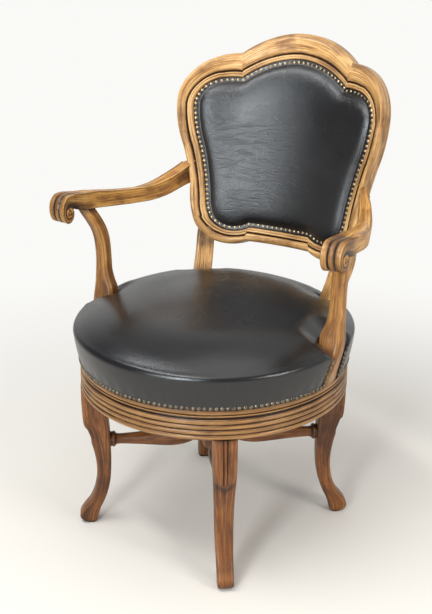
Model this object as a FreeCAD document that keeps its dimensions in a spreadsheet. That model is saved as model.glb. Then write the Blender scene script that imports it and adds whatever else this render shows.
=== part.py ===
import FreeCAD, Part
import math
import os

import Sketcher
from FreeCAD import Placement, Rotation, Vector

# A swivelling desk chair in stained beech and black leather, in millimetres.
# The sitter faces -Y and has +X on the left hand. The floor is at Z = 0.
# Pieces are drawn about the swivel axis, and each Placement then moves them back by axis_set_back, so
# that the origin lies on the floor under the middle of the whole chair.

os.makedirs("parts", exist_ok=True)
doc = FreeCAD.newDocument("desk_chair")
sheet = doc.addObject("Spreadsheet::Sheet", "Sizes")

DRIVING_SIZES = [
    # base
    ("axis_set_back", 70.0, "swivel axis in front of the chair's middle"),
    ("base_turn", -10.9, "degrees that the base stands turned under the seat"),
    ("ring_radius", 265.0, "outside of the reeds on the base ring"),
    ("ring_width", 58.0, "radial width of the base ring"),
    ("ring_height", 49.0, "height of the base ring"),
    ("reed_count", 4, "reeds round the base ring"),
    ("reed_height", 10.2, "one reed and its groove"),
    ("reed_depth", 3.5, "how far a reed stands out"),
    ("leg_height", 313.5, "floor to the underside of the ring"),
    ("leg_top_width", 45.0, "width of a leg under the ring"),
    ("leg_foot_width", 31.0, "width of a foot on the floor"),
    ("knee_panel_step", 3.0, "thickness of the raised knee panel"),
    ("knee_groove_width", 2.4, "each of the two grooves in a knee panel"),
    ("knee_groove_depth", 1.5, ""),
    ("knee_groove_spacing", 7.0, ""),
    ("dowel_radius", 5.0, "dowels in the base and in the back"),
    ("dowel_length", 44.0, ""),
    ("stretcher_height", 186.5, "axis of the stretchers over the floor"),
    ("stretcher_swell", 18.0, "thickest radius of a stretcher"),
    ("stretcher_neck", 10.5, "radius beside the collar"),
    ("stretcher_collar", 16.0, "radius of the collar at the leg"),
    ("stretcher_tenon", 8.0, "radius of both tenons"),
    ("tenon_length", 16.0, ""),
    ("hub_radius", 24.0, "turned hub where the stretchers meet"),
    ("hub_height", 52.0, ""),
    ("cross_rail_width", 64.0, "base and seat cross rails"),
    ("cross_rail_height", 26.0, ""),
    ("cross_tenon_depth", 12.0, ""),
    # turntable
    ("plate_radius", 90.0, "both steel plates"),
    ("plate_thickness", 3.0, ""),
    ("ball_radius", 4.0, ""),
    ("ball_count", 24, ""),
    ("ball_ring_radius", 70.0, "circle through the balls"),
    ("race_depth", 1.0, "pressed groove in each plate"),
    ("running_gap", 0.05, "between the turntable's moving faces"),
    ("cage_thickness", 2.0, ""),
    ("cage_width", 18.0, ""),
    ("bolt_radius", 6.0, "pivot bolt"),
    ("bolt_head_radius", 13.0, ""),
    ("bolt_head_height", 6.0, ""),
    ("nut_height", 10.0, ""),
    ("washer_radius", 15.0, ""),
    ("washer_thickness", 2.5, ""),
    ("screw_radius", 2.5, "wood screws"),
    ("screw_head_radius", 5.0, ""),
    ("screw_length", 20.0, "screws of the plates"),
    ("plate_screw_circle", 52.0, "radius of the screw holes in a plate, inside the balls"),
    ("post_screw_length", 40.0, "screws through the seat ring into a post"),
    # seat
    ("turn_gap", 1.5, "air between base ring and seat ring"),
    ("lip_height", 9.5, "wood that shows under the leather"),
    ("lip_set_in", 1.0, "lip inside the reeds"),
    ("seat_ring_width", 46.0, ""),
    ("seat_ring_height", 54.0, "with the lip"),
    ("leather", 1.6, "thickness of the leather"),
    ("soft_gap", 0.3, "air round soft pieces"),
    ("seat_bulge", 10.5, "how far the cushion swells past the ring"),
    ("bulge_height", 58.0, "widest line of the cushion over the lip"),
    ("seat_crown", 119.0, "top of the cushion over the lip"),
    ("web_width", 50.0, "jute webbing"),
    ("web_thickness", 2.0, ""),
    ("nail_pitch", 10.4, ""),
    ("nail_radius", 4.2, "dome nail's head"),
    ("nail_dome", 2.6, "height of the head"),
    ("nail_shank", 0.9, "radius"),
    ("nail_length", 11.0, "shank under the head"),
    ("nail_line", 4.5, "seat nails over the leather's lower edge"),
    ("column_pitch", 9.0, "between the seat nails that climb beside a post"),
    # arms
    ("post_thickness", 26.0, "arm post across, where it is slim"),
    ("post_depth", 28.0, "arm post front to back, where it is slim"),
    ("post_foot_width", 46.0, "arm post along the rail"),
    ("post_forward", 18.0, "middle of the post's foot in front of the axis"),
    ("arm_width", 35.0, ""),
    ("arm_height", 34.0, ""),
    ("scroll_radius", 29.5, ""),
    ("scroll_width", 38.0, ""),
    ("scroll_flute", 3.5, "depth of the two flutes round a scroll"),
    ("scroll_spread", 290.0, "middle of a scroll beside the axis"),
    ("scroll_forward", 78.0, "middle of a scroll in front of the axis"),
    ("scroll_height", 271.0, "middle of a scroll over the lip"),
    # back
    ("back_foot", 238.5, "front of the back behind the axis, at the lip's height"),
    ("back_slope", 0.2383, "how far the back leans for each unit of height"),
    ("back_bow", 320.0, "radius of the hollow back"),
    ("back_thickness", 42.0, "wood of the back frame, front to rear"),
    ("back_width", 464.0, ""),
    ("back_height", 434.0, ""),
    ("back_over_lip", 140.0, "lower edge of the back over the lip"),
    ("back_crown", 17.0, "how far the back cushion swells"),
    ("rebate_depth", 7.0, "leather's ledge under the frame's face"),
    ("rebate_width", 6.0, "ledge outside the nails"),
    ("ledge_width", 14.0, "ledge inside the nails"),
    ("moulding_groove", 16.0, "groove outside the nails"),
    ("moulding_groove_width", 3.0, ""),
    ("back_post_width", 38.0, ""),
    ("back_post_thickness", 27.0, ""),
    ("back_post_spread", 153.0, "middle of a back post beside the chair's middle, under the frame"),
    ("back_post_foot_spread", 147.0, "the same at the seat ring"),
]


class Size:
    """A value of the sheet, or an expression made of such values, for a constraint to follow."""

    def __init__(self, value, text):
        self.value = float(value)
        self.text = text

    def __float__(self):
        return self.value

    def __add__(self, other):
        other = as_size(other)
        return Size(self.value + other.value, f"({self.text} + {other.text})")

    def __sub__(self, other):
        other = as_size(other)
        return Size(self.value - other.value, f"({self.text} - {other.text})")

    def __mul__(self, other):
        other = as_size(other)
        return Size(self.value * other.value, f"({self.text} * {other.text})")

    def __truediv__(self, other):
        other = as_size(other)
        return Size(self.value / other.value, f"({self.text} / {other.text})")

    def __neg__(self):
        return Size(-self.value, f"(-{self.text})")

    def root(self):
        return Size(math.sqrt(self.value), f"sqrt({self.text})")

    __radd__ = __add__
    __rmul__ = __mul__


def as_size(thing):
    return thing if isinstance(thing, Size) else Size(thing, f"({float(thing):.6f})")


class Sheet:
    """The sheet's cells by name."""


S = Sheet()
for row, (alias, value, note) in enumerate(DRIVING_SIZES, start=1):
    sheet.set(f"A{row}", alias)
    sheet.set(f"B{row}", str(value))
    sheet.set(f"C{row}", note)
    sheet.setAlias(f"B{row}", alias)
    setattr(S, alias, Size(value, f"Sizes.{alias}"))
doc.recompute()

# Heights that several pieces share
ring_top = S.leg_height + S.ring_height
seat_ring_bottom = ring_top + S.turn_gap
lip_top = seat_ring_bottom + S.lip_height
seat_ring_top = seat_ring_bottom + S.seat_ring_height
ring_inside = S.ring_radius - S.ring_width
lip_radius = S.ring_radius - S.lip_set_in
hoop_radius = lip_radius - S.leather - S.soft_gap
hoop_inside = hoop_radius - S.seat_ring_width
ball_middle = seat_ring_bottom - S.ball_radius - S.running_gap - S.plate_thickness + S.race_depth
plate_gap = (S.ball_radius + S.running_gap - S.race_depth) * 2
lower_plate_top = ball_middle - plate_gap / 2
base_rail_top = lower_plate_top - S.plate_thickness
upper_plate_bottom = ball_middle + plate_gap / 2
seat_rail_bottom = upper_plate_bottom + S.plate_thickness

sub_parts = []


def place(piece, label, height=0, turn=0.0):
    """Names a sub-part and sets it in the chair, with its set back bound to the sheet."""
    piece.Label = label
    piece.Placement = Placement(Vector(0, 0, float(height)), Rotation(Vector(0, 0, 1), turn))
    piece.setExpression("Placement.Base.y", "-Sizes.axis_set_back")
    if isinstance(height, Size):
        piece.setExpression("Placement.Base.z", height.text)
    sub_parts.append(piece)
    return piece


def feature(shape, label, turn=0.0):
    """A sub-part whose shape is drawn by the functions below, turned about the swivel axis."""
    piece = doc.addObject("Part::Feature", label)
    piece.Shape = shape
    return place(piece, label, 0, turn)


def bored(blank, holes, label, height=0, turn=0.0):
    """A sub-part that is a turned or padded blank less some holes."""
    tool = doc.addObject("Part::Feature", label + "_holes")
    tool.Shape = Part.makeCompound(holes)
    piece = doc.addObject("Part::Cut", label)
    piece.Base = blank
    piece.Tool = tool
    return place(piece, label, height, turn)


def new_body(label):
    return doc.addObject("PartDesign::Body", label)


def origin_plane(body, role):
    return [x for x in body.Origin.OriginFeatures if x.Role == role][0]


def bind_point(sketch, geometry, end, x, y):
    """Holds one end of a line at the expressions x and y."""
    for kind, axis, size in (("DistanceX", -2, as_size(x)), ("DistanceY", -1, as_size(y))):
        if abs(size.value) < 1e-9:
            sketch.addConstraint(Sketcher.Constraint("PointOnObject", geometry, end, axis))
            continue
        index = sketch.addConstraint(Sketcher.Constraint(kind, -1, 1, geometry, end, size.value))
        sketch.setExpression(f"Constraints[{index}]", size.text)


def draw(body, role, corners, bulges=None):
    """A closed outline through corners. bulges gives the height of the arc over a side, by its index."""
    sketch = body.newObject("Sketcher::SketchObject", body.Name + "_outline")
    sketch.AttachmentSupport = (origin_plane(body, role), [""])
    sketch.MapMode = "FlatFace"
    bulges = bulges or {}
    points = [Vector(float(x), float(y), 0) for x, y in corners]
    for side, start in enumerate(points):
        end = points[(side + 1) % len(points)]
        if side in bulges:
            along = (end - start).normalize()
            top = (start + end) * 0.5 + Vector(along.y, -along.x, 0) * float(bulges[side])
            sketch.addGeometry(Part.Arc(start, top, end), False)
        else:
            sketch.addGeometry(Part.LineSegment(start, end), False)
    for side, (x, y) in enumerate(corners):
        before = (side - 1) % len(points)
        start_end, last_end = arc_ends(sketch, side, points[side]), arc_ends(sketch, before, points[side])
        sketch.addConstraint(Sketcher.Constraint("Coincident", before, last_end, side, start_end))
        bind_point(sketch, side, start_end, x, y)
    for side, bulge in bulges.items():
        run = math.dist(points[side], points[(side + 1) % len(points)])
        radius = (run * run / 4 + float(bulge) ** 2) / (2 * abs(float(bulge)))
        sketch.addConstraint(Sketcher.Constraint("Radius", side, radius))
    doc.recompute()
    return sketch


def arc_ends(sketch, geometry, point):
    """1 or 2: which end of a line or arc lies at the point, since arcs always run anticlockwise."""
    first = sketch.getPoint(geometry, 1)
    return 1 if math.dist(first, point) < 1e-6 else 2


def turned(label, corners, bulges=None, lying=False):
    """A blank turned on a lathe: about Z, or about X when it lies."""
    body = new_body(label)
    sketch = draw(body, "XZ_Plane", corners, bulges)
    revolution = body.newObject("PartDesign::Revolution", label + "_turning")
    revolution.Profile = sketch
    revolution.ReferenceAxis = (sketch, ["H_Axis" if lying else "V_Axis"])
    revolution.Angle = 360
    body.Tip = revolution
    doc.recompute()
    return body


def cylinder(radius, length, foot, direction=Vector(0, 0, 1)):
    return Part.makeCylinder(float(radius), float(length), foot, direction)


def box(low, high):
    size = high - low
    return Part.makeBox(size.x, size.y, size.z, low)


def mirrored(shape):
    return shape.mirror(Vector(0, 0, 0), Vector(1, 0, 0))


def moved(shape, x=0.0, y=0.0, z=0.0, turn=0.0):
    """A copy of a shape turned about the swivel axis and then moved, with both kept in its geometry."""
    place_there = Placement(Vector(float(x), float(y), float(z)), Rotation(Vector(0, 0, 1), turn))
    return shape.transformed(place_there.toMatrix(), True)


def rounded_loop(centre, across, up, width, height, corner):
    """A closed rectangle with round corners, about a centre, in the plane of two unit vectors."""
    w, h = width / 2, height / 2
    corner = min(corner, w * 0.95, h * 0.95)
    diagonal = corner * (1 - math.sqrt(0.5))

    def at(x, y):
        return centre + across * x + up * y

    edges = []
    for sx, sy in ((1, 1), (-1, 1), (-1, -1), (1, -1)):
        on_side = at(sx * w, sy * (h - corner))
        on_top = at(sx * (w - corner), sy * h)
        middle = at(sx * (w - diagonal), sy * (h - diagonal))
        arc = (on_side, middle, on_top) if sx == sy else (on_top, middle, on_side)
        edges.append(Part.Arc(*arc).toShape())
    loop = []
    for index, edge in enumerate(edges):
        following = edges[(index + 1) % 4]
        start = edge.valueAt(edge.LastParameter)
        end = following.valueAt(following.FirstParameter)
        loop += [edge, Part.makeLine(start, end)]
    return Part.Wire(loop)


def loft(loops):
    return Part.makeLoft(loops, True, False)


def arc_wire(points):
    """A wire of arcs: its points are an end, a point on the arc, the next end, and so on."""
    edges = []
    for index in range(0, len(points) - 1, 2):
        start, middle, end = points[index : index + 3]
        chord = (end - start).Length
        bend = (middle - start).cross(end - start).Length / chord
        if bend < 0.01:
            edges.append(Part.makeLine(start, end))
        else:
            edges.append(Part.Arc(start, middle, end).toShape())
    return Part.Wire(edges)


# Legs. Each is sawn from one piece of beech as an S, with a raised panel on its knee that runs up to the
# ring and has two grooves. The rows run from the sole to the ring: share of the leg's height, inner and
# outer face inside (-) or outside the reeds, and the share of the way from the foot's width to the top's.
LEG_ROWS = [
    (0.000, -20.0, 4.0, 0.00),
    (0.030, -22.0, 13.0, 0.02),
    (0.066, -25.0, 13.5, 0.03),
    (0.112, -30.0, 5.0, 0.07),
    (0.156, -36.5, -6.0, 0.12),
    (0.218, -44.0, -15.5, 0.20),
    (0.290, -49.5, -21.5, 0.28),
    (0.405, -53.5, -24.5, 0.37),
    (0.514, -54.0, -21.0, 0.47),
    (0.607, -53.5, -14.0, 0.58),
    (0.668, -53.0, -8.0, 0.68),
    (0.735, -51.0, -1.5, 0.80),
    (0.816, -46.0, 0.5, 0.92),
    (1.000, -43.0, 1.0, 1.00),
]
KNEE_TIP = 0.655
KNEE_CORNER = 0.722


# A stretcher's collar meets the inner face of its leg.
collar_end = S.ring_radius - 53.2
collar_start = collar_end - 11


def leg_solid(face_inside):
    """The S of a leg about the X axis, with its outer face set back by face_inside above the knee."""
    loops = []
    for share, inner, outer, widening in LEG_ROWS:
        set_back = face_inside if share > KNEE_TIP - 0.06 else 0.0
        r_in = float(S.ring_radius) + inner
        r_out = float(S.ring_radius) + outer - set_back
        foot, top = float(S.leg_foot_width), float(S.leg_top_width)
        width = foot + (top - foot) * widening
        centre = Vector((r_in + r_out) / 2, 0, share * float(S.leg_height))
        loops.append(rounded_loop(centre, Vector(1, 0, 0), Vector(0, 1, 0), r_out - r_in, width, 6.0))
    return loft(loops)


def knee_prism(half_width, low, high, tip):
    """A bar along the leg's outer side, square above and pointed below."""
    reach = float(S.ring_radius)
    outline = [
        Vector(reach - 25, -half_width, high),
        Vector(reach - 25, half_width, high),
        Vector(reach - 25, half_width, low),
        Vector(reach - 25, 0, tip),
        Vector(reach - 25, -half_width, low),
    ]
    return Part.Face(Part.makePolygon(outline + outline[:1])).extrude(Vector(60, 0, 0))


def make_legs():
    height = float(S.leg_height)
    panel_half = float(S.leg_top_width) / 2 - 1.5
    full = leg_solid(0.0)
    panel = full.common(knee_prism(panel_half, height * KNEE_CORNER, height + 1, height * KNEE_TIP))
    leg = leg_solid(float(S.knee_panel_step)).fuse(panel)
    half = float(S.knee_groove_width) / 2
    cutters = []
    for side in (-1, 1):
        middle = side * float(S.knee_groove_spacing) / 2
        low = Vector(float(S.ring_radius) - 20, middle - half, height * (KNEE_TIP + 0.035))
        cutters.append(box(low, Vector(low.x + 60, middle + half, height + 1)))
    floor_of_groove = leg_solid(float(S.knee_groove_depth))
    for cutter in cutters:
        leg = leg.cut(cutter.cut(floor_of_groove))
    hole = cylinder(S.stretcher_tenon, S.tenon_length + 30, leg_socket(), Vector(-1, 0, 0))
    leg = leg.cut(hole)
    depth = float(S.dowel_length) / 2 + 1
    for dowel in leg_dowel_places():
        leg = leg.cut(cylinder(S.dowel_radius, depth, dowel - Vector(0, 0, depth)))
    return leg.removeSplitter()


def leg_socket():
    """Bottom of the hole for a stretcher, in the leg on the X axis."""
    return Vector(float(collar_end + S.tenon_length), 0, float(S.stretcher_height))


def leg_dowel_places():
    """Where the two dowels of the leg on the X axis pass from the leg into the ring."""
    middle = float(S.ring_radius) - float(S.ring_width) / 2 + 5
    spread = float(S.leg_top_width) * 0.24
    return [Vector(middle, side * spread, float(S.leg_height)) for side in (-1, 1)]


LEGS = [("front", -45.0), ("left", 45.0), ("rear", 135.0), ("right", 225.0)]
base_turn = float(S.base_turn)
one_leg = make_legs()
for name, angle in LEGS:
    feature(one_leg, "leg_" + name, angle + base_turn)

one_pair = [
    cylinder(S.dowel_radius, S.dowel_length, spot - Vector(0, 0, float(S.dowel_length) / 2))
    for spot in leg_dowel_places()
]
all_dowels = [moved(peg, turn=angle) for _, angle in LEGS for peg in one_pair]
feature(Part.makeCompound(all_dowels), "leg_dowels", base_turn)

# Stretchers. Four turned bars swell towards the middle, where a hub holds their ends.
for name, angle in LEGS:
    bar = turned(
        "stretcher_" + name,
        [
            (S.hub_radius - S.tenon_length + 2, 0),
            (S.hub_radius - S.tenon_length + 2, S.stretcher_tenon),
            (S.hub_radius + 16, S.stretcher_tenon),
            (S.hub_radius + 30, S.stretcher_swell * 0.62),
            (S.hub_radius + 60, S.stretcher_swell),
            (collar_start, S.stretcher_neck),
            (collar_start, S.stretcher_collar),
            (collar_end, S.stretcher_collar),
            (collar_end, S.stretcher_tenon),
            (collar_end + S.tenon_length, S.stretcher_tenon),
            (collar_end + S.tenon_length, 0),
        ],
        {2: -1.5, 3: -3.5, 4: -4.0, 6: -2.0},
        lying=True,
    )
    place(bar, "stretcher_" + name, S.stretcher_height, angle + base_turn)
hub = cylinder(S.hub_radius, S.hub_height, Vector(0, 0, float(S.stretcher_height - S.hub_height / 2)))
hub = hub.makeFillet(8.0, [edge for edge in hub.Edges if edge.Closed])
for name, angle in LEGS:
    out = Rotation(Vector(0, 0, 1), angle + base_turn).multVec(Vector(1, 0, 0))
    start = out * float(S.hub_radius - S.tenon_length + 2) + Vector(0, 0, float(S.stretcher_height))
    hub = hub.cut(cylinder(S.stretcher_tenon, S.tenon_length, start, out))
feature(hub, "stretcher_hub")

# Base ring. It is bent and glued from beech, with a hollow under its top edge and reeds below that.
reed_corners = [(ring_inside, S.leg_height)]
for reed in range(int(float(S.reed_count)) + 1):
    reed_corners.append((S.ring_radius - S.reed_depth, S.leg_height + S.reed_height * reed))
reed_corners += [
    (S.ring_radius, ring_top - 1.5),
    (S.ring_radius - 2, ring_top),
    (ring_inside, ring_top),
]
reed_bulges = {1 + reed: S.reed_depth for reed in range(int(float(S.reed_count)))}
reed_bulges[1 + int(float(S.reed_count))] = as_size(-1.5)
base_ring_blank = turned("base_ring_blank", reed_corners, reed_bulges)


def cross_rail(inside, upper):
    """One of two half-lapped boards along X inside a ring, with a stub tenon at each end, from Z = 0."""
    half_width, height = float(S.cross_rail_width) / 2, float(S.cross_rail_height)
    reach = float(inside)
    board = box(Vector(-reach, -half_width, 0), Vector(reach, half_width, height))
    board = board.common(cylinder(reach - 0.2, height, Vector(0, 0, 0)))
    board = board.fuse(cross_tenons(inside)[0].fuse(cross_tenons(inside)[1]))
    low, high = (0, height / 2) if upper else (height / 2, height)
    lap = box(Vector(-half_width, -half_width, low), Vector(half_width, half_width, high))
    return board.cut(lap).removeSplitter()


def cross_tenons(inside):
    """The two stub tenons of a cross rail along X, which are also the mortises in its ring."""
    reach = float(inside)
    half_width, height = float(S.cross_rail_width) / 2 - 10, float(S.cross_rail_height)
    low, high = height * 0.25, height * 0.75
    end = reach + float(S.cross_tenon_depth)
    return [
        box(Vector(reach - 12, -half_width, low), Vector(end, half_width, high)),
        box(Vector(-end, -half_width, low), Vector(12 - reach, half_width, high)),
    ]


QUARTERS = (0.0, 90.0, 180.0, 270.0)
base_rail_bottom = base_rail_top - S.cross_rail_height
mortises = [moved(t, z=base_rail_bottom, turn=a) for t in cross_tenons(ring_inside) for a in (0.0, 90.0)]
peg_holes = [moved(peg, turn=angle) for _, angle in LEGS for peg in one_pair]
bored(base_ring_blank, mortises + peg_holes, "base_ring", 0, base_turn)

# The pivot bolt's nut hangs in a hole through the crossing of the base rails, and the plate's screws
# go down into them.
nut_bottom = base_rail_top - S.running_gap - S.washer_thickness - S.nut_height
nut_well = cylinder(S.washer_radius + 2, S.cross_rail_height, Vector(0, 0, float(nut_bottom) - 4))


def plate_screw_holes(head_height, down):
    """The four screws of a plate, as the solid of each screw, with its head flush at a height."""
    way = -1 if down else 1
    screws = []
    for angle in QUARTERS:
        spot = Rotation(Vector(0, 0, 1), angle).multVec(Vector(float(S.plate_screw_circle), 0, 0))
        spot.z = float(head_height)
        screws.append(wood_screw(spot, Vector(0, 0, way), S.screw_length))
    return screws


def wood_screw(head, direction, length):
    """A countersunk screw from the middle of its head's face."""
    sink = float(S.screw_head_radius - S.screw_radius)
    cone = Part.makeCone(float(S.screw_head_radius), float(S.screw_radius), sink, head, direction)
    neck = head + direction * sink
    straight = float(length) * 0.8 - sink
    shank = cylinder(S.screw_radius, straight, neck, direction)
    point = neck + direction * straight
    tip = Part.makeCone(float(S.screw_radius), 0.4, float(length) * 0.2, point, direction)
    slot = box(Vector(-0.6, -6, -0.1), Vector(0.6, 6, 1.0))
    slot.Placement = Placement(head, Rotation(Vector(0, 0, 1), direction))
    return cone.fuse(shank).fuse(tip).cut(slot)


def bare_hole(head, direction, length):
    """The hole that such a screw fills."""
    sink = float(S.screw_head_radius - S.screw_radius)
    cone = Part.makeCone(float(S.screw_head_radius), float(S.screw_radius), sink, head, direction)
    return cone.fuse(cylinder(S.screw_radius, length, head, direction))


def plate_holes(head_height, down):
    way = -1 if down else 1
    holes = []
    for angle in QUARTERS:
        spot = Rotation(Vector(0, 0, 1), angle).multVec(Vector(float(S.plate_screw_circle), 0, 0))
        spot.z = float(head_height)
        holes.append(bare_hole(spot, Vector(0, 0, way), S.screw_length))
    return holes


lower_holes = plate_holes(lower_plate_top, True)
for label, upper, turn in (("base_cross_rail_lower", False, 0.0), ("base_cross_rail_upper", True, 90.0)):
    rail = moved(cross_rail(ring_inside, upper), z=base_rail_bottom, turn=turn)
    rail = rail.cut(nut_well)
    for hole in lower_holes:
        rail = rail.cut(hole)
    feature(rail, label, base_turn)

# Turntable. Two steel plates with pressed races hold a ring of balls in a cage, and a bolt keeps them
# together: it turns with the upper plate, and its washer runs under the lower one.
race_radius = S.ball_radius + S.running_gap
race_half = (S.race_depth * (race_radius * 2 - S.race_depth)).root()
bore = S.bolt_radius + S.running_gap


def race_plate(label, race_up):
    """A plate with its race in its upper or lower face, from Z = 0."""
    face, back = (S.plate_thickness, as_size(0)) if race_up else (as_size(0), S.plate_thickness)
    corners = [
        (bore, back),
        (S.plate_radius, back),
        (S.plate_radius, face),
        (S.ball_ring_radius + race_half, face),
        (S.ball_ring_radius - race_half, face),
        (bore, face),
    ]
    return turned(label, corners, {3: -S.race_depth if race_up else S.race_depth})


lower_blank = race_plate("swivel_lower_blank", True)
holes = [moved(hole, z=-base_rail_top) for hole in lower_holes]
bored(lower_blank, holes, "swivel_lower_plate", base_rail_top, base_turn)
feature(Part.makeCompound(plate_screw_holes(lower_plate_top, True)), "lower_plate_screws", base_turn)

upper_holes = plate_holes(upper_plate_bottom, False)
upper_blank = race_plate("swivel_upper_blank", False)
holes = [moved(hole, z=-upper_plate_bottom) for hole in upper_holes]
bored(upper_blank, holes, "swivel_upper_plate", upper_plate_bottom)
feature(Part.makeCompound(plate_screw_holes(upper_plate_bottom, False)), "upper_plate_screws")

cage_inner = S.ball_ring_radius - S.cage_width / 2
cage_blank = turned(
    "ball_cage_blank",
    [
        (cage_inner, -S.cage_thickness / 2),
        (cage_inner + S.cage_width, -S.cage_thickness / 2),
        (cage_inner + S.cage_width, S.cage_thickness / 2),
        (cage_inner, S.cage_thickness / 2),
    ],
)
ball_spots = []
for index in range(int(float(S.ball_count))):
    angle = 360.0 * index / float(S.ball_count)
    ball_spots.append(Rotation(Vector(0, 0, 1), angle).multVec(Vector(float(S.ball_ring_radius), 0, 0)))
ball_pockets = [cylinder(S.ball_radius + 0.2, 10, spot - Vector(0, 0, 5)) for spot in ball_spots]
bored(cage_blank, ball_pockets, "ball_cage", ball_middle)
balls = []
for spot in ball_spots:
    balls.append(Part.makeSphere(float(S.ball_radius), spot + Vector(0, 0, float(ball_middle))))
feature(Part.makeCompound(balls), "bearing_balls")

bolt_top = seat_rail_bottom + S.bolt_head_height
bolt_blank = turned(
    "pivot_bolt",
    [
        (0, nut_bottom - 3),
        (S.bolt_radius - 1, nut_bottom - 3),
        (S.bolt_radius, nut_bottom - 2),
        (S.bolt_radius, seat_rail_bottom),
        (S.bolt_head_radius, seat_rail_bottom),
        (S.bolt_head_radius, bolt_top - 2),
        (S.bolt_head_radius - 3, bolt_top),
        (0, bolt_top),
    ],
)
place(bolt_blank, "pivot_bolt")
washer_top = base_rail_top - S.running_gap
washer = turned(
    "pivot_washer",
    [
        (bore, -S.washer_thickness),
        (S.washer_radius, -S.washer_thickness),
        (S.washer_radius, 0),
        (bore, 0),
    ],
)
place(washer, "pivot_washer", washer_top)
nut_corner = float(S.bolt_radius) * 1.9
nut_points = [Rotation(Vector(0, 0, 1), 60.0 * k).multVec(Vector(nut_corner, 0, 0)) for k in range(7)]
nut = Part.Face(Part.makePolygon(nut_points)).extrude(Vector(0, 0, float(S.nut_height)))
nut = nut.cut(cylinder(bore, S.nut_height, Vector(0, 0, 0)))
feature(moved(nut, z=nut_bottom), "pivot_nut")

# Seat cross rails, like those of the base
head_well = cylinder(S.bolt_head_radius + 2, S.bolt_head_height + 3, Vector(0, 0, float(seat_rail_bottom)))
for label, upper, turn in (("seat_cross_rail_lower", False, 0.0), ("seat_cross_rail_upper", True, 90.0)):
    rail = moved(cross_rail(hoop_inside, upper), z=seat_rail_bottom, turn=turn)
    rail = rail.cut(head_well)
    for hole in upper_holes:
        rail = rail.cut(hole)
    feature(rail, label)


# Arm posts. Each is one piece that is housed in a notch of the seat ring, swells over the cushion's
# edge and leans forward to its arm. The rows run upwards: height over the lip, inner face and outer
# face inside (-) or outside the reeds, middle in front of the foot's middle, and depth past the slim one.
POST_ROWS = [
    (0, -29.0, -2.5, 0.0, 18.0),
    (18, -28.9, 1.0, -1.5, 16.7),
    (36, -29.2, 4.9, -4.9, 14.0),
    (54, -30.4, 8.7, -10.1, 10.2),
    (72, -32.5, 10.7, -15.0, 6.9),
    (90, -31.2, 10.2, -18.2, 4.7),
    (108, -24.1, 9.2, -19.5, 2.5),
    (126, -19.4, 8.8, -20.4, 1.0),
    (144, -17.9, 8.5, -21.4, 0.6),
    (162, -17.1, 8.7, -21.6, 0.4),
    (180, -16.5, 9.5, -21.0, 0.5),
    (198, -14.8, 11.1, -19.3, 0.7),
    (216, -11.8, 14.3, -15.1, 1.3),
    (234, -7.1, 19.5, -7.6, 2.5),
    (252, 0.1, 25.9, 0.4, 4.0),
    (268, 8.0, 31.0, 7.0, 5.0),
]
DRAWN_SCROLL_HEIGHT = 271.0


def post_solid(extra=0.0, open_side=0.0):
    """The left arm post, larger all round by extra, and on its outer side by open_side too."""
    loops = []
    for height, inner, outer, forward, deeper in POST_ROWS:
        share = float(S.scroll_height) / DRAWN_SCROLL_HEIGHT
        rise = float(lip_top) + (height if height < 60 else 60 + (height - 60) * share)
        x_in, x_out = float(S.ring_radius) + inner, float(S.ring_radius) + outer + open_side
        thickness = x_out - x_in + float(S.post_thickness) - 26.0
        centre = Vector((x_in + x_out) / 2, -float(S.post_forward) - forward, rise)
        depth = float(S.post_depth) + deeper * (float(S.post_foot_width) - float(S.post_depth)) / 18.0
        size = (thickness + 2 * extra, depth + 2 * extra)
        loops.append(rounded_loop(centre, Vector(1, 0, 0), Vector(0, 1, 0), *size, 6.0 + extra))
    return loft(loops)


# Arms. An arm leaves the side of the back, dips while it bows outwards, then rises to its scroll. The rows
# run forwards, in the direction from the back to the scroll: share of the way forward, how far beside the
# scroll's middle, middle over or under the scroll's middle, extra width and extra height.
ARM_ROWS = [
    (0.000, -90.0, 15.0, -5.0, 12.0),
    (0.101, -71.0, 0.5, -3.0, 2.0),
    (0.233, -54.0, -12.5, -2.0, -2.0),
    (0.326, -43.0, -16.0, -2.0, -4.0),
    (0.466, -27.0, -13.0, -1.0, -4.0),
    (0.615, -15.0, -6.0, 0.0, -3.0),
    (0.780, -7.5, 4.0, 0.0, -1.0),
    (0.900, -3.0, 10.0, -1.0, -1.0),
    (0.975, -0.5, 12.0, -1.0, -2.0),
]
ARM_REACH = 334.0


def arm_centres():
    """The points along the middle of the left arm."""
    points = []
    for share, beside, above, _, _ in ARM_ROWS:
        forward = float(S.scroll_forward) - ARM_REACH * (1 - share)
        points.append(
            Vector(
                float(S.scroll_spread) + beside,
                -forward,
                float(lip_top) + float(S.scroll_height) + above,
            )
        )
    return points


def arm_bar():
    """The left arm without its scroll."""
    points = arm_centres()
    loops = []
    for index, (_, _, _, wider, higher) in enumerate(ARM_ROWS):
        before, after = points[max(index - 1, 0)], points[min(index + 1, len(points) - 1)]
        along = (after - before).normalize()
        across = along.cross(Vector(0, 0, 1)).normalize()
        up = across.cross(along).normalize()
        size = (float(S.arm_width) + wider, float(S.arm_height) + higher)
        loops.append(rounded_loop(points[index], across, up, *size, 11.0))
    return loft(loops)


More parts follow.
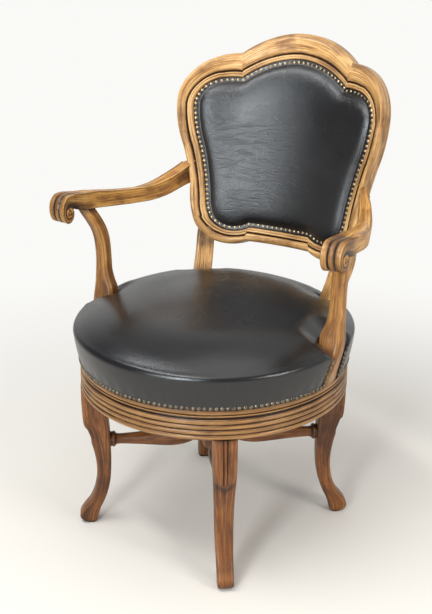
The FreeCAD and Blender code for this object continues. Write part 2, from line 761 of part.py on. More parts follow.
def scroll_solid():
    """The left scroll: a short drum across the arm's end, with three ridges and an eye on each side."""
    half = float(S.scroll_width) / 2
    radius, flute = float(S.scroll_radius), float(S.scroll_flute)
    third = half * 2 / 3
    ends = [-half + third * k for k in range(4)]
    profile = [Vector(-half, 0, 0), Vector(-half, radius - flute, 0)]
    edges = [Part.makeLine(*profile)]
    for left, right in zip(ends, ends[1:]):
        start, end = Vector(left, radius - flute, 0), Vector(right, radius - flute, 0)
        edges.append(Part.Arc(start, Vector((left + right) / 2, radius, 0), end).toShape())
    edges.append(Part.makeLine(Vector(half, radius - flute, 0), Vector(half, 0, 0)))
    edges.append(Part.makeLine(Vector(half, 0, 0), profile[0]))
    drum = Part.Face(Part.Wire(edges)).revolve(Vector(0, 0, 0), Vector(1, 0, 0), 360)
    eye = cylinder(radius * 0.3, half * 2 + 4, Vector(-half - 2, 0, 0), Vector(1, 0, 0))
    middle = Vector(float(S.scroll_spread), -float(S.scroll_forward), float(lip_top + S.scroll_height))
    return moved(drum.fuse(eye), middle.x, middle.y, middle.z, 7.0)


left_post = post_solid()
left_arm = arm_bar().fuse(scroll_solid())

# Back frame. It is sawn from a bent board that leans back: two stiles that run down into posts, a
# crest rail and a bottom rail. Outlines are drawn from the front, on a back that is 464 wide and 434
# high, from its lower edge at the middle: ends and middles of arcs by turns, on the sitter's left side.
DRAWN_WIDTH, DRAWN_HEIGHT = 464.0, 434.0
OUTER_EDGE = [
    (0, 434), (67, 423), (127, 390),
    (158, 387), (187, 377),
    (219, 347), (232, 297),
    (229, 257), (217, 209),
    (202, 152), (196, 119),
    (193, 84), (186, 53),
    (173, 25), (152, 5),
    (131, -4), (108, -7),
    (91, -5), (76, 1),
    (40, 0.5), (0, 0),
]
NAIL_EDGE = [
    (0, 376), (62, 364), (117, 333.5),
    (135, 334.6), (152, 333),
    (184, 318.5), (197, 285.5),
    (192, 246), (180.5, 203),
    (166, 142), (157.5, 86),
    (153.5, 66), (146, 49),
    (128, 34), (105, 28),
    (86, 30.5), (70, 37.5),
    (35, 36.3), (0, 36),
]


def face_depth(x, z):
    """Y of the back frame's front face at the board's bend and lean."""
    bow = float(S.back_bow)
    rise = z - float(lip_top)
    return float(S.back_foot) + float(S.back_slope) * rise - (bow - math.sqrt(bow * bow - x * x))


def back_outline(points, grow=0.0):
    """Half an outline of the front face, mirrored and slid square to the board to a wire at Y = 0."""
    wide = float(S.back_width) / DRAWN_WIDTH
    high = float(S.back_height) / DRAWN_HEIGHT
    foot = float(lip_top + S.back_over_lip)
    halves = []
    for side in (wide, -wide):
        corners = []
        for x, z in points:
            rise = foot + z * high
            corners.append(Vector(x * side, 0, rise + float(S.back_slope) * face_depth(x * side, rise)))
        halves += arc_wire(corners).Edges
    wire = Part.Wire(Part.__sortEdges__(halves))
    return wire.makeOffset2D(grow) if grow else wire


def face_spot(spot):
    """The point of the front face that a point of such a wire was slid from."""
    slope = float(S.back_slope)
    z = (spot.z - slope * face_depth(spot.x, 0)) / (1 + slope * slope)
    return Vector(spot.x, face_depth(spot.x, z), z)


def back_prism(points, grow=0.0):
    """A bar of an outline, square to the board, through the whole depth of the back."""
    reach = Vector(0, 600, -600 * float(S.back_slope))
    return Part.Face(back_outline(points, grow)).extrude(reach)


def back_slab(front, rear):
    """The bent board between two depths behind the frame's front face."""
    half = float(S.back_width) / 2 + 12
    low, high = float(lip_top) + 60, float(lip_top + S.back_over_lip + S.back_height) + 30
    bow = float(S.back_bow)
    middle_y = face_depth(0, low) - bow

    def arc(radius):
        end_y = middle_y + math.sqrt(radius * radius - half * half)
        ends = [Vector(-half, end_y, low), Vector(half, end_y, low)]
        return Part.Arc(ends[0], Vector(0, middle_y + radius, low), ends[1]).toShape(), ends

    front_arc, front_ends = arc(bow + front)
    rear_arc, rear_ends = arc(bow + rear)
    sides = [Part.makeLine(front_ends[side], rear_ends[side]) for side in (0, 1)]
    section = Part.Face(Part.Wire(Part.__sortEdges__([front_arc, sides[1], rear_arc, sides[0]])))
    return section.extrude(Vector(0, float(S.back_slope) * (high - low), high - low))


def back_post(extra=0.0, open_side=0.0):
    """The left post under the back frame, down to the lip, where it is housed in the seat ring."""
    spread, thickness = float(S.back_post_spread), float(S.back_post_thickness)
    foot_spread = float(S.back_post_foot_spread)
    foot_radius = float(hoop_radius) - thickness / 2 - 0.5
    foot_y = math.sqrt(foot_radius * foot_radius - foot_spread * foot_spread)
    foot_turn = math.degrees(math.asin(foot_spread / foot_radius))
    board = float(S.back_thickness)
    board_turn = math.degrees(math.asin(spread / float(S.back_bow)))
    top_low = float(lip_top + S.back_over_lip)
    rows = [(0.0, 0.0), (44.0, 0.03), (0.56, 0.42), (0.78, 0.78), (1.0, 1.0), (1.2, None)]
    loops = []
    for height, share in rows:
        rise = height if height > 2 else height * float(S.back_over_lip)
        z = float(lip_top) + rise
        lean = 1.0 if share is None else share
        board_y = face_depth(spread, max(z, top_low)) + board / 2 * math.cos(math.radians(board_turn))
        x_top = spread + board / 2 * math.sin(math.radians(board_turn))
        x = foot_spread + (x_top - foot_spread) * lean
        turn = foot_turn + (board_turn - foot_turn) * lean
        across = Vector(math.cos(math.radians(turn)), -math.sin(math.radians(turn)), 0)
        outwards = Vector(-across.y, across.x, 0)
        centre = Vector(x, foot_y + (board_y - foot_y) * lean, z) + outwards * (open_side / 2)
        depth = thickness + (board - 1 - thickness) * lean + open_side
        size = (float(S.back_post_width) + 2 * extra, depth + 2 * extra)
        loops.append(rounded_loop(centre, across, outwards, *size, 4.0 + extra))
    return loft(loops)


# The arm's back end stops at the frame's edge, in front of the frame as well as behind it.
ARM_CLEAR = 40.0
frame_board = back_slab(0, float(S.back_thickness))
ledge = float(S.ledge_width)
frame = frame_board.common(back_prism(OUTER_EDGE).cut(back_prism(NAIL_EDGE, -ledge)))
rebate = back_prism(NAIL_EDGE, float(S.rebate_width)).common(back_slab(-5, float(S.rebate_depth)))
frame = frame.cut(rebate)
groove_inner = float(S.moulding_groove)
groove_outer = groove_inner + float(S.moulding_groove_width)
groove = back_prism(NAIL_EDGE, groove_outer).cut(back_prism(NAIL_EDGE, groove_inner))
frame = frame.cut(groove.common(back_slab(-5, 2.0)))
CREST_SPLIT, BOTTOM_SPLIT = 120.0, 73.0
crest_x = CREST_SPLIT * float(S.back_width) / DRAWN_WIDTH
bottom_x = BOTTOM_SPLIT * float(S.back_width) / DRAWN_WIDTH
back_low = float(lip_top + S.back_over_lip)
back_middle = back_low + float(S.back_height) / 2
back_high = back_low + float(S.back_height) + 50
crest_box = box(Vector(-crest_x, 0, back_middle), Vector(crest_x, 700, back_high))
bottom_box = box(Vector(-bottom_x, 0, back_low - 60), Vector(bottom_x, 700, back_middle))
left_box = box(Vector(0, 0, back_low - 60), Vector(400, 700, back_high))
crest = frame.common(crest_box)
bottom_rail = frame.common(bottom_box)
left_stile = frame.common(left_box).cut(crest_box).cut(bottom_box)
left_stile = left_stile.fuse(back_post()).removeSplitter()
left_arm = left_arm.cut(back_slab(-ARM_CLEAR, ARM_CLEAR * 2).common(back_prism(OUTER_EDGE)))
left_arm = sorted(left_arm.Solids, key=lambda solid: solid.Volume)[-1]


def joint_dowels(x, low_share, high_share, low, high):
    """Two dowels across a joint of the back frame at x, between two heights."""
    turn = math.asin(x / float(S.back_bow))
    along = Vector(math.cos(turn), -math.sin(turn), 0)
    pegs = []
    for share in (low_share, high_share):
        z = low + (high - low) * share
        middle = Vector(x, face_depth(x, z) + float(S.back_thickness) * 0.58, z)
        start = middle - along * (float(S.dowel_length) / 2)
        pegs.append(cylinder(S.dowel_radius, S.dowel_length, start, along))
    return pegs


high_scale = float(S.back_height) / DRAWN_HEIGHT
crest_low = back_low + 333.5 * high_scale - ledge
crest_high = back_low + 392 * high_scale
bottom_high = back_low + 37.5 * high_scale + ledge
left_pegs = joint_dowels(crest_x, 0.38, 0.76, crest_low, crest_high)
left_pegs += joint_dowels(bottom_x, 0.185, 0.43, back_low, bottom_high)
back_pegs = left_pegs + [mirrored(peg) for peg in left_pegs]
for peg in back_pegs:
    crest = crest.cut(peg)
    bottom_rail = bottom_rail.cut(peg)
    left_stile = left_stile.cut(peg)

# One dowel pins each arm to its stile, and two screws from inside the seat ring hold each post.
arm_back = arm_centres()[0]
stile_side = arm_back.x - 4
side_turn = math.asin(stile_side / float(S.back_bow))
peg_along = Vector(math.cos(side_turn), -math.sin(side_turn), 0)
peg_depth = float(S.back_thickness) / 2 * math.cos(side_turn)
peg_middle = Vector(stile_side, face_depth(stile_side, arm_back.z) + peg_depth, arm_back.z)
peg_start = peg_middle - peg_along * (float(S.dowel_length) / 2)
arm_peg = cylinder(S.dowel_radius, S.dowel_length, peg_start, peg_along)
left_arm = left_arm.cut(arm_peg)
left_stile = left_stile.cut(arm_peg)
left_post = left_post.cut(left_arm)


def post_screws(angle):
    """Heads and direction of the two screws that run outwards into a post at an angle from +X."""
    out = Vector(math.cos(math.radians(angle)), math.sin(math.radians(angle)), 0)
    seat = out * (float(hoop_inside) + 4)
    return [(seat + Vector(0, 0, float(lip_top) + up), out) for up in (22.0, 37.0)]


arm_screw_angle = -math.degrees(math.asin(float(S.post_forward) / float(hoop_radius)))
back_foot_radius = float(hoop_radius) - float(S.back_post_thickness) / 2 - 0.5
back_screw_angle = 90 - math.degrees(math.asin(float(S.back_post_foot_spread) / back_foot_radius))
screw_sets = {}
for side, angle in (("arm_post_screws", arm_screw_angle), ("back_post_screws", back_screw_angle)):
    both = []
    for seat, out in post_screws(angle):
        screw = wood_screw(seat, out, S.post_screw_length)
        hole = bare_hole(seat, out, S.post_screw_length)
        left_post = left_post.cut(hole)
        left_stile = left_stile.cut(hole)
        both.append((screw, hole, cylinder(S.screw_head_radius + 1, 30, seat, -out)))
    screw_sets[side] = both

# Seat ring, bent and glued from beech, with a lip that shows under the leather
hoop_blank = turned(
    "seat_ring_blank",
    [
        (hoop_inside, seat_ring_bottom),
        (lip_radius - 1.5, seat_ring_bottom),
        (lip_radius, seat_ring_bottom + 1.5),
        (lip_radius, lip_top - 2),
        (lip_radius - 2, lip_top),
        (hoop_radius - 1, lip_top),
        (hoop_radius - 1, seat_ring_top),
        (hoop_inside, seat_ring_top),
    ],
)
hoop_tools = [moved(t, z=seat_rail_bottom, turn=a) for t in cross_tenons(hoop_inside) for a in (0.0, 90.0)]
notch_post = post_solid(0.1, 8.0)
above_lip = cylinder(float(S.ring_radius) + 60, 400, Vector(0, 0, float(lip_top)))
notch_back = back_post().common(above_lip)
for left_tool in (notch_post, notch_back):
    hoop_tools += [left_tool, mirrored(left_tool)]
for both in screw_sets.values():
    for _, hole, well in both:
        for tool in (hole, well):
            hoop_tools += [tool, mirrored(tool)]
bored(hoop_blank, hoop_tools, "seat_ring")
for label, both in screw_sets.items():
    screws = [screw for screw, _, _ in both]
    feature(Part.makeCompound(screws + [mirrored(screw) for screw in screws]), label)

for label, left_piece in (("arm_post", left_post), ("arm", left_arm), ("back_stile", left_stile)):
    feature(left_piece, label + "_left")
    feature(mirrored(left_piece), label + "_right")
feature(Part.makeCompound([arm_peg, mirrored(arm_peg)]), "arm_dowels")
feature(crest, "back_crest_rail")
feature(bottom_rail, "back_bottom_rail")
feature(Part.makeCompound(back_pegs), "back_frame_dowels")

# Seat upholstery: webbing and hessian over the ring, stuffing, and a leather cover drawn down to the lip.
# The cushion's sides swell past the ring and its top is a full crown.
web_radius = hoop_radius - 30
web_count = 4


def web_strips(turn, low):
    strips = []
    pitch = float(web_radius) * 2 / web_count * 0.94
    for index in range(web_count):
        middle = (index - (web_count - 1) / 2) * pitch
        half = float(S.web_width) / 2
        reach = float(web_radius)
        high = low + float(S.web_thickness)
        strip = box(Vector(-reach, middle - half, low), Vector(reach, middle + half, high))
        strip = strip.common(cylinder(reach, 10, Vector(0, 0, low - 1)))
        strips.append(moved(strip, turn=turn))
    return strips


web_low = float(seat_ring_top)
webs = web_strips(0, web_low) + web_strips(90, web_low + float(S.web_thickness))
feature(Part.makeCompound(webs), "seat_webbing")
hessian_low = web_low + 2 * float(S.web_thickness)
feature(cylinder(web_radius, 1.0, Vector(0, 0, hessian_low)), "seat_hessian")


def cushion_line(inset):
    """Arcs up the cushion's side and over its top to the axis, from the leather's outside inwards."""
    side, top = float(S.ring_radius + S.seat_bulge) - inset, float(lip_top)
    foot = float(lip_radius) - inset
    wide = float(S.bulge_height)
    crown = float(S.seat_crown) - inset
    cap_foot, cap_height = side * 0.47, (crown - wide) * 0.09
    cap_radius = (cap_foot ** 2 + cap_height ** 2) / (2 * cap_height)
    cap_middle = crown - cap_radius + math.sqrt(cap_radius ** 2 - (cap_foot / 2) ** 2)
    return [
        Vector(foot, 0, top),
        Vector(foot + (side - foot) * 0.62, 0, top + wide * 0.5),
        Vector(side, 0, top + wide),
        Vector(side - 1.8, 0, top + wide + 9.5 - inset * 0.5),
        Vector(side - 9.0 + inset * 0.4, 0, top + wide + 14.5 - inset * 0.9),
        Vector(side * 0.79, 0, top + wide + (crown - wide) * 0.66),
        Vector(cap_foot, 0, top + crown - cap_height),
        Vector(cap_foot / 2, 0, top + cap_middle),
        Vector(0, 0, top + crown),
    ]


def revolved(edges):
    face = Part.Face(Part.Wire(Part.__sortEdges__(edges)))
    return face.revolve(Vector(0, 0, 0), Vector(0, 0, 1), 360)


def closed_line(points):
    return [Part.makeLine(a, b) for a, b in zip(points, points[1:])]


outside, inside = arc_wire(cushion_line(0.0)), arc_wire(cushion_line(float(S.leather)))
ends = [cushion_line(0.0), cushion_line(float(S.leather))]
leather = revolved(outside.Edges + inside.Edges + [Part.makeLine(ends[0][k], ends[1][k]) for k in (0, -1)])

gap = float(S.soft_gap)
stuffing_line = cushion_line(float(S.leather) + gap)
skirt = float(hoop_radius) + gap
side_cut = Part.makeBox(600, 600, 24, Vector(-300, -300, float(lip_top)))
ring_lid, hessian_top = float(seat_ring_top) + gap, hessian_low + 1.0 + gap
under = [
    stuffing_line[-1],
    Vector(0, 0, hessian_top),
    Vector(float(web_radius) + gap, 0, hessian_top),
    Vector(float(web_radius) + gap, 0, ring_lid),
    Vector(skirt, 0, ring_lid),
    Vector(skirt, 0, float(lip_top)),
    stuffing_line[0],
]
stuffing = revolved(arc_wire(stuffing_line).Edges + closed_line(under)).cut(side_cut)

# The leather stops on both sides of each post, so that the posts' outer faces stay bare.
BARE_SIDE = 40.0
arm_post_room = post_solid(gap, BARE_SIDE)
back_post_room = back_post(gap, BARE_SIDE).common(above_lip)
for left_tool in (arm_post_room, back_post_room):
    for tool in (left_tool, mirrored(left_tool)):
        leather = leather.cut(tool)
        stuffing = stuffing.cut(tool)


def body_of(shape):
    """The main solid of a cut shape, without crumbs that a cut left behind."""
    return sorted(shape.Solids, key=lambda solid: solid.Volume)[-1]


feature(body_of(stuffing), "seat_stuffing")
feature(body_of(leather), "seat_leather")

# Dome nails, driven through the leather in rows a nail's pitch apart


def dome_nail():
    """A nail with its head's underside at the origin and its shank down."""
    radius, dome = float(S.nail_radius), float(S.nail_dome)
    shank, length = float(S.nail_shank), float(S.nail_length)
    round_radius = (radius * radius + dome * dome) / (2 * dome)
    round_middle = dome - round_radius + math.sqrt(round_radius ** 2 - (radius / 2) ** 2)
    arc = Part.Arc(Vector(radius, 0, 0), Vector(radius / 2, 0, round_middle), Vector(0, 0, dome)).toShape()
    points = [
        Vector(0, 0, dome),
        Vector(0, 0, -length),
        Vector(shank, 0, -length + 2),
        Vector(shank, 0, 0),
        Vector(radius, 0, 0),
    ]
    return revolved([arc] + closed_line(points))


one_nail = dome_nail()


def nail_at(spot, outwards):
    turn = Placement(spot, Rotation(Vector(0, 0, 1), outwards))
    return one_nail.transformed(turn.toMatrix(), True)


def cushion_face(height):
    """Radius of the leather at a height over the lip, on the lower arc of its side."""
    start, middle, end = cushion_line(0.0)[:3]
    circle = Part.Arc(start, middle, end).toShape().Curve
    rise = float(lip_top) + height - circle.Center.z
    return circle.Center.x + math.sqrt(circle.Radius ** 2 - rise ** 2)


pitch = float(S.nail_pitch)
row_height = float(S.nail_line)
row_radius = cushion_face(row_height)


def post_angles():
    """Middle and half angle of the gap that each post leaves in the row of nails, in degrees from +X."""
    arm_half = math.degrees((float(S.post_foot_width) / 2 + float(S.nail_radius) + 1.5) / row_radius)
    back_half = math.degrees((float(S.back_post_width) / 2 + float(S.nail_radius) + 2.0) / row_radius)
    return [
        (arm_screw_angle, arm_half),
        (180 - arm_screw_angle, arm_half),
        (back_screw_angle, back_half),
        (180 - back_screw_angle, back_half),
    ]


def post_edge(height, rear):
    """How far behind the axis a post's rear or front edge is, at a height over the lip."""
    edges = []
    for over_lip, _, _, forward, deeper in POST_ROWS:
        half = (float(S.post_depth) + deeper) / 2
        edges.append((over_lip, -float(S.post_forward) - forward + (half if rear else -half)))
    for (low, low_edge), (high, high_edge) in zip(edges, edges[1:]):
        if height <= high:
            return low_edge + (high_edge - low_edge) * (height - low) / (high - low)


def edge_lean(angle, height):
    """Degrees that a column of nails has turned at a height, to follow the edge of an arm post."""
    if math.sin(math.radians(angle)) > 0.3:
        return 0.0
    left = math.cos(math.radians(angle)) > 0
    rear = math.sin(math.radians(angle)) > math.sin(math.radians(arm_screw_angle))
    back = post_edge(height, rear) - post_edge(row_height, rear)
    lean = math.degrees(back / cushion_face(height))
    return lean if left else -lean


def seat_nail(angle, height):
    out = Vector(math.cos(math.radians(angle)), math.sin(math.radians(angle)), 0)
    return nail_at(out * cushion_face(height) + Vector(0, 0, float(lip_top) + height), out)


seat_nails = []
gaps = sorted(post_angles())
for (middle, half), (next_middle, next_half) in zip(gaps, gaps[1:] + [(gaps[0][0] + 360, gaps[0][1])]):
    first, last = middle + half, next_middle - next_half
    count = round(math.radians(last - first) * row_radius / pitch)
    for index in range(count + 1):
        seat_nails.append(seat_nail(first + (last - first) * index / count, row_height))
    for row in range(1, 6):
        height = row_height + row * float(S.column_pitch)
        for angle in (first, last):
            seat_nails.append(seat_nail(angle + edge_lean(angle, height), height))
feature(Part.makeCompound(seat_nails), "seat_nails")

# Back upholstery: webbing and hessian tacked on the ledge, stuffing, a crowned leather panel with its
# row of nails, and a plain leather panel over the rear.
leather_depth = float(S.rebate_depth - S.leather)
nail_foot, nail_middle, nail_top = 36.0, 206.0, 376.0


def half_width_at(z):
    """About half the width of the row of nails at a drawn height."""
    rows = [(28, 120), (49, 145), (86, 157.5), (142, 166), (203, 180.5), (246, 192), (285, 197)]
    rows += [(318, 188), (376, 150)]
    for (low, x_low), (high, x_high) in zip(rows, rows[1:]):
        if z <= high:
            return x_low + (x_high - x_low) * max(0.0, z - low) / (high - low)
    return rows[-1][1]


def swell(x, z):
    """Share of the back cushion's crown at a drawn place: 0 on the nails and 1 in the middle."""
    top = nail_top - 42.5 * min(1.0, (x / 117.0) ** 2)
    foot = nail_foot - 8.0 * max(0.0, min(1.0, (abs(x) - 60) / 45.0))
    limit = top - nail_middle if z > nail_middle else nail_middle - foot
    across = min(1.0, abs(x) / half_width_at(z))
    upright = min(1.0, abs(z - nail_middle) / limit)
    return (1 - across ** 5) * (1 - upright ** 5)


def cushion_front(behind):
    """The crowned front of the back cushion as a face, at a depth behind the leather's outside."""
    wide = float(S.back_width) / DRAWN_WIDTH
    grid = []
    for column in range(-12, 13):
        x = column * 17.5
        line = []
        for row in range(21):
            z = 10.0 + row * 19.5
            rise = back_low + z * high_scale
            depth = leather_depth + behind - (leather_depth + float(S.back_crown)) * swell(x, z)
            line.append(Vector(x * wide, face_depth(x * wide, rise) + depth, rise))
        grid.append(line)
    surface = Part.BSplineSurface()
    surface.interpolate(grid)
    return surface.toShape()


back_cover = cushion_front(0.0).extrude(Vector(0, float(S.leather), 0))
back_cover = back_cover.common(back_prism(NAIL_EDGE, float(S.rebate_width) - 0.5))
back_cover = back_cover.common(back_slab(-60, float(S.rebate_depth) - 0.05))
inset = float(S.ledge_width) - 2.5
web_room = back_prism(NAIL_EDGE, -inset)
layer_gap = 0.2
hessian_depth = float(S.rebate_depth) - 3.05 - 2 * layer_gap
back_fill = cushion_front(float(S.leather) + gap).extrude(Vector(0, 60, 0)).common(web_room)
back_fill = back_fill.common(back_slab(-60, hessian_depth - gap))
feature(body_of(back_fill), "back_stuffing")
feature(body_of(back_cover), "back_leather")
feature(body_of(back_slab(hessian_depth, hessian_depth + 1).common(web_room)), "back_hessian")
back_webs = []
web_half = float(S.web_width) / 2
for column in (-1, 0, 1):
    strip = box(Vector(column * 84 - web_half, 0, back_low), Vector(column * 84 + web_half, 700, back_high))
    upright_depth = hessian_depth + 1 + layer_gap
    back_webs.append(back_slab(upright_depth, upright_depth + 1).common(web_room).common(strip))
for row in range(4):
    low = back_low + float(S.back_height) * (0.15 + 0.18 * row)
    strip = box(Vector(-400, 0, low), Vector(400, 700, low + float(S.web_width)))
    level_depth = hessian_depth + 2 + 2 * layer_gap
    back_webs.append(back_slab(level_depth, level_depth + 1).common(web_room).common(strip))
feature(Part.makeCompound([body_of(web) for web in back_webs]), "back_webbing")
rear_depth = float(S.back_thickness)
rear_panel = back_slab(rear_depth, rear_depth + float(S.leather)).common(back_prism(NAIL_EDGE, 5.0))
feature(body_of(rear_panel), "rear_panel")


def back_nails(depth, forwards, grow):
    """A row of nails round the back, whose heads stand on a face at a depth."""
    line = back_outline(NAIL_EDGE, grow)
    count = round(line.Length / pitch)
    nails = []
    for mark in line.discretize(Number=count + 1)[:-1]:
        spot = face_spot(mark)
        lean = spot.x / math.sqrt(float(S.back_bow) ** 2 - spot.x ** 2)
        out = Vector(-lean, -1, float(S.back_slope)).normalize()
        spot -= out * depth
        nails.append(nail_at(spot, out if forwards else -out))
    return nails


feature(Part.makeCompound(back_nails(leather_depth, True, 0.0)), "back_nails")
feature(Part.makeCompound(back_nails(rear_depth + float(S.leather), False, -2.0)), "rear_nails")

doc.recompute()
for item in doc.Objects:
    if "Invalid" in item.State or "Error" in item.State:
        raise RuntimeError(f"{item.Name} did not build")
for piece in sub_parts:
    if piece.Shape.isNull() or not piece.Shape.isValid() or not piece.Shape.Solids:
        raise RuntimeError(f"{piece.Label} has no sound solid")
for piece in sub_parts:
    piece.Shape.exportStep(f"parts/{piece.Label}.step")
    print(piece.Label, len(piece.Shape.Solids), round(piece.Shape.Volume))
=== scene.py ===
import math

import bpy
import numpy as np
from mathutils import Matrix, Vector


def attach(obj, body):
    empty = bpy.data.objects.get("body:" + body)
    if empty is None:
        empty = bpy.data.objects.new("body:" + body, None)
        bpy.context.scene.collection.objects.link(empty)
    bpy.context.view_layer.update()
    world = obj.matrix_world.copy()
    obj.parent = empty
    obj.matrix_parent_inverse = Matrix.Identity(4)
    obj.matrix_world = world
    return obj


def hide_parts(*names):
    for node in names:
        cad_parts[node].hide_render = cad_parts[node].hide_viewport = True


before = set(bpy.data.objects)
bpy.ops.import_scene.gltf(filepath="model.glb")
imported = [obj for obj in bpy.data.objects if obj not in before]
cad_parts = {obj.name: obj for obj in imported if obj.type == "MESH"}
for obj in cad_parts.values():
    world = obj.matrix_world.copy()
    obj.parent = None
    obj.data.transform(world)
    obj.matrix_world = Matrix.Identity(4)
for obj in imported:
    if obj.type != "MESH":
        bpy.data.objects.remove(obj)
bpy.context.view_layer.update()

# Legs. Four S-shaped legs of beech with a raised, pointed panel on each knee that carries two grooves.
# They are stained dark brown and waxed, worn on their edges, and dowelled up into the base ring.
MM = 0.001
AXIS_Y = -0.070
RING_RADIUS = 0.265
LEG_HEIGHT = 0.3135
BASE_TURN = -10.9
LEG_ANGLES = {"front": -45.0, "left": 45.0, "rear": 135.0, "right": 225.0}
LEG_EDGE, SOLE_EDGE = 0.0065, 0.0022
KNEE_TIP, KNEE_CORNER, PANEL_HALF, PANEL_STEP = 0.655, 0.722, 0.021, 0.003
GROOVE_BESIDE, GROOVE_HALF, GROOVE_DEPTH = 0.0036, 0.0017, 0.0019
# share of the height, inner face, outer face (mm outside the reeds), and width in mm
LEG_LINE = [
    (0.000, -20.0, 4.0, 31.0),
    (0.030, -22.0, 13.0, 31.3),
    (0.066, -25.0, 13.5, 31.4),
    (0.112, -30.0, 5.0, 32.0),
    (0.156, -36.5, -6.0, 32.7),
    (0.218, -44.0, -15.5, 33.8),
    (0.290, -49.5, -21.5, 34.9),
    (0.405, -53.5, -24.5, 36.2),
    (0.514, -54.0, -21.0, 37.6),
    (0.607, -53.5, -14.0, 39.1),
    (0.668, -53.0, -8.0, 40.5),
    (0.735, -51.0, -1.5, 42.2),
    (0.816, -46.0, 0.5, 43.9),
    (1.000, -43.0, 1.0, 45.0),
]


def follow(table, at):
    """Smooth values of a table's columns, whose first column is the place along the piece."""
    rows = np.array(table, float)
    place, values = rows[:, 0], rows[:, 1:]
    slope = np.gradient(values, place, axis=0)
    k = np.clip(np.searchsorted(place, at) - 1, 0, len(place) - 2)
    span = (place[k + 1] - place[k])[:, None]
    s = np.clip((np.asarray(at) - place[k])[:, None] / span, 0.0, 1.0)
    before, after = values[k], values[k + 1]
    rise = (2 * s**3 - 3 * s**2 + 1) * before + (3 * s**2 - 2 * s**3) * after
    return (rise + span * ((s**3 - 2 * s**2 + s) * slope[k] + (s**3 - s**2) * slope[k + 1])).T


def ease(low, high, value):
    """0 below low, 1 above high, and smooth between them."""
    s = np.clip((value - low) / (high - low), 0.0, 1.0)
    return s * s * (3 - 2 * s)


def bar_plan(front, side, rear, corner):
    """Columns round a bar with rounded edges: where each lies on the flat part, and its way outwards."""
    flat_x, flat_y, out_x, out_y = [], [], [], []
    ways = [(1, 0), (0, 1), (-1, 0), (0, -1), (1, 0)]
    for (nx, ny), (tx, ty), count in zip(ways, ways[1:], (front, side, rear, side)):
        for k in range(count):
            along = -1 + 2 * k / count
            flat_x.append(nx + tx * along)
            flat_y.append(ny + ty * along)
            out_x.append(nx)
            out_y.append(ny)
        for k in range(corner):
            turn = math.pi / 2 * k / corner
            flat_x.append(nx + tx)
            flat_y.append(ny + ty)
            out_x.append(nx * math.cos(turn) + tx * math.sin(turn))
            out_y.append(ny * math.cos(turn) + ty * math.sin(turn))
    return np.array([flat_x, flat_y, out_x, out_y])


def bar_points(plan, u, thick, wide, corner):
    """Places on a bar's outline, which is thick along x and wide along y, and the ways outwards from them."""
    column = np.rint(u * plan.shape[1]).astype(int) % plan.shape[1]
    flat_x, flat_y, out_x, out_y = plan[:, column]
    x = flat_x * (thick / 2 - corner) + out_x * corner
    y = flat_y * (wide / 2 - corner) + out_y * corner
    return x, y, out_x, out_y


def laid_grid(name, around, along, shape, grain=(1.0, 1.0), closed=True, sharp=38.0):
    """A grid laid over a piece: shape(u, v) gives x, y, z and the shade of arrays of places on the grid, and
    grain is how much of the wood's figure runs round the piece and along it, in metres."""
    bpy.ops.object.select_all(action="DESELECT")
    bpy.ops.mesh.primitive_grid_add(x_subdivisions=around, y_subdivisions=along, size=2.0, location=(0, 0, 0))
    piece = bpy.context.object
    piece.name = piece.data.name = name
    mesh = piece.data
    flat = np.empty(len(mesh.vertices) * 3)
    mesh.vertices.foreach_get("co", flat)
    u, v = (flat.reshape(-1, 3)[:, :2].T + 1) / 2
    x, y, z, shade = shape(u, v)
    mesh.vertices.foreach_set("co", np.stack([x, y, z], 1).ravel())
    dark = mesh.attributes.new("shade", "FLOAT", "POINT")
    dark.data.foreach_set("value", (np.zeros_like(u) + shade).astype(np.float32))
    uv = np.empty(len(mesh.loops) * 2)
    mesh.uv_layers[0].data.foreach_get("uv", uv)
    mesh.uv_layers[0].data.foreach_set("uv", (uv.reshape(-1, 2) * np.array(grain)).ravel())
    mesh.update()
    bpy.ops.object.mode_set(mode="EDIT")
    bpy.ops.mesh.select_all(action="SELECT")
    bpy.ops.mesh.remove_doubles(threshold=2e-6)
    bpy.ops.mesh.select_all(action="SELECT")
    if closed:
        bpy.ops.mesh.fill_holes(sides=0)
        bpy.ops.mesh.select_all(action="SELECT")
    bpy.ops.mesh.normals_make_consistent(inside=False)
    bpy.ops.object.mode_set(mode="OBJECT")
    bpy.ops.object.shade_smooth_by_angle(angle=math.radians(sharp))
    return piece


def plug_in(tree, node, **inputs):
    """Sets inputs of a node, called by name or by number as in _0, to values or to other nodes' outputs."""
    for key, value in inputs.items():
        socket = node.inputs[int(key[1:]) if key[0] == "_" else key.replace("_", " ")]
        if isinstance(value, bpy.types.NodeSocket):
            tree.links.new(value, socket)
        else:
            socket.default_value = (*value, 1) if socket.type == "RGBA" else value


def wire_up(tree, kind, settings=None, **inputs):
    """A new shader node with its settings and its inputs."""
    node = tree.nodes.new("ShaderNode" + kind)
    for key, value in (settings or {}).items():
        setattr(node, key, value)
    plug_in(tree, node, **inputs)
    return node


def mix_colours(tree, factor, first, second):
    """The first colour where the factor is 0 and the second where it is 1."""
    return wire_up(tree, "Mix", {"data_type": "RGBA"}, _0=factor, _6=first, _7=second).outputs[2]


def sums(tree, how, first, second=0.0, third=0.0):
    """The result of a sum on values that vary over the piece."""
    return wire_up(tree, "Math", {"operation": how}, _0=first, _1=second, _2=third).outputs[0]


def scaled(tree, value, low, high, start=0.0, end=1.0, curve="LINEAR"):
    """A value that runs from low to high, brought to run from start to end."""
    limits = {"_1": low, "_2": high, "_3": start, "_4": end}
    return wire_up(tree, "MapRange", {"interpolation_type": curve}, Value=value, **limits).outputs[0]


def mottle(tree, place, scale, detail, **more):
    """Random blotches, about so many to the metre."""
    return wire_up(tree, "TexNoise", Vector=place, Scale=scale, Detail=detail, **more).outputs[0]


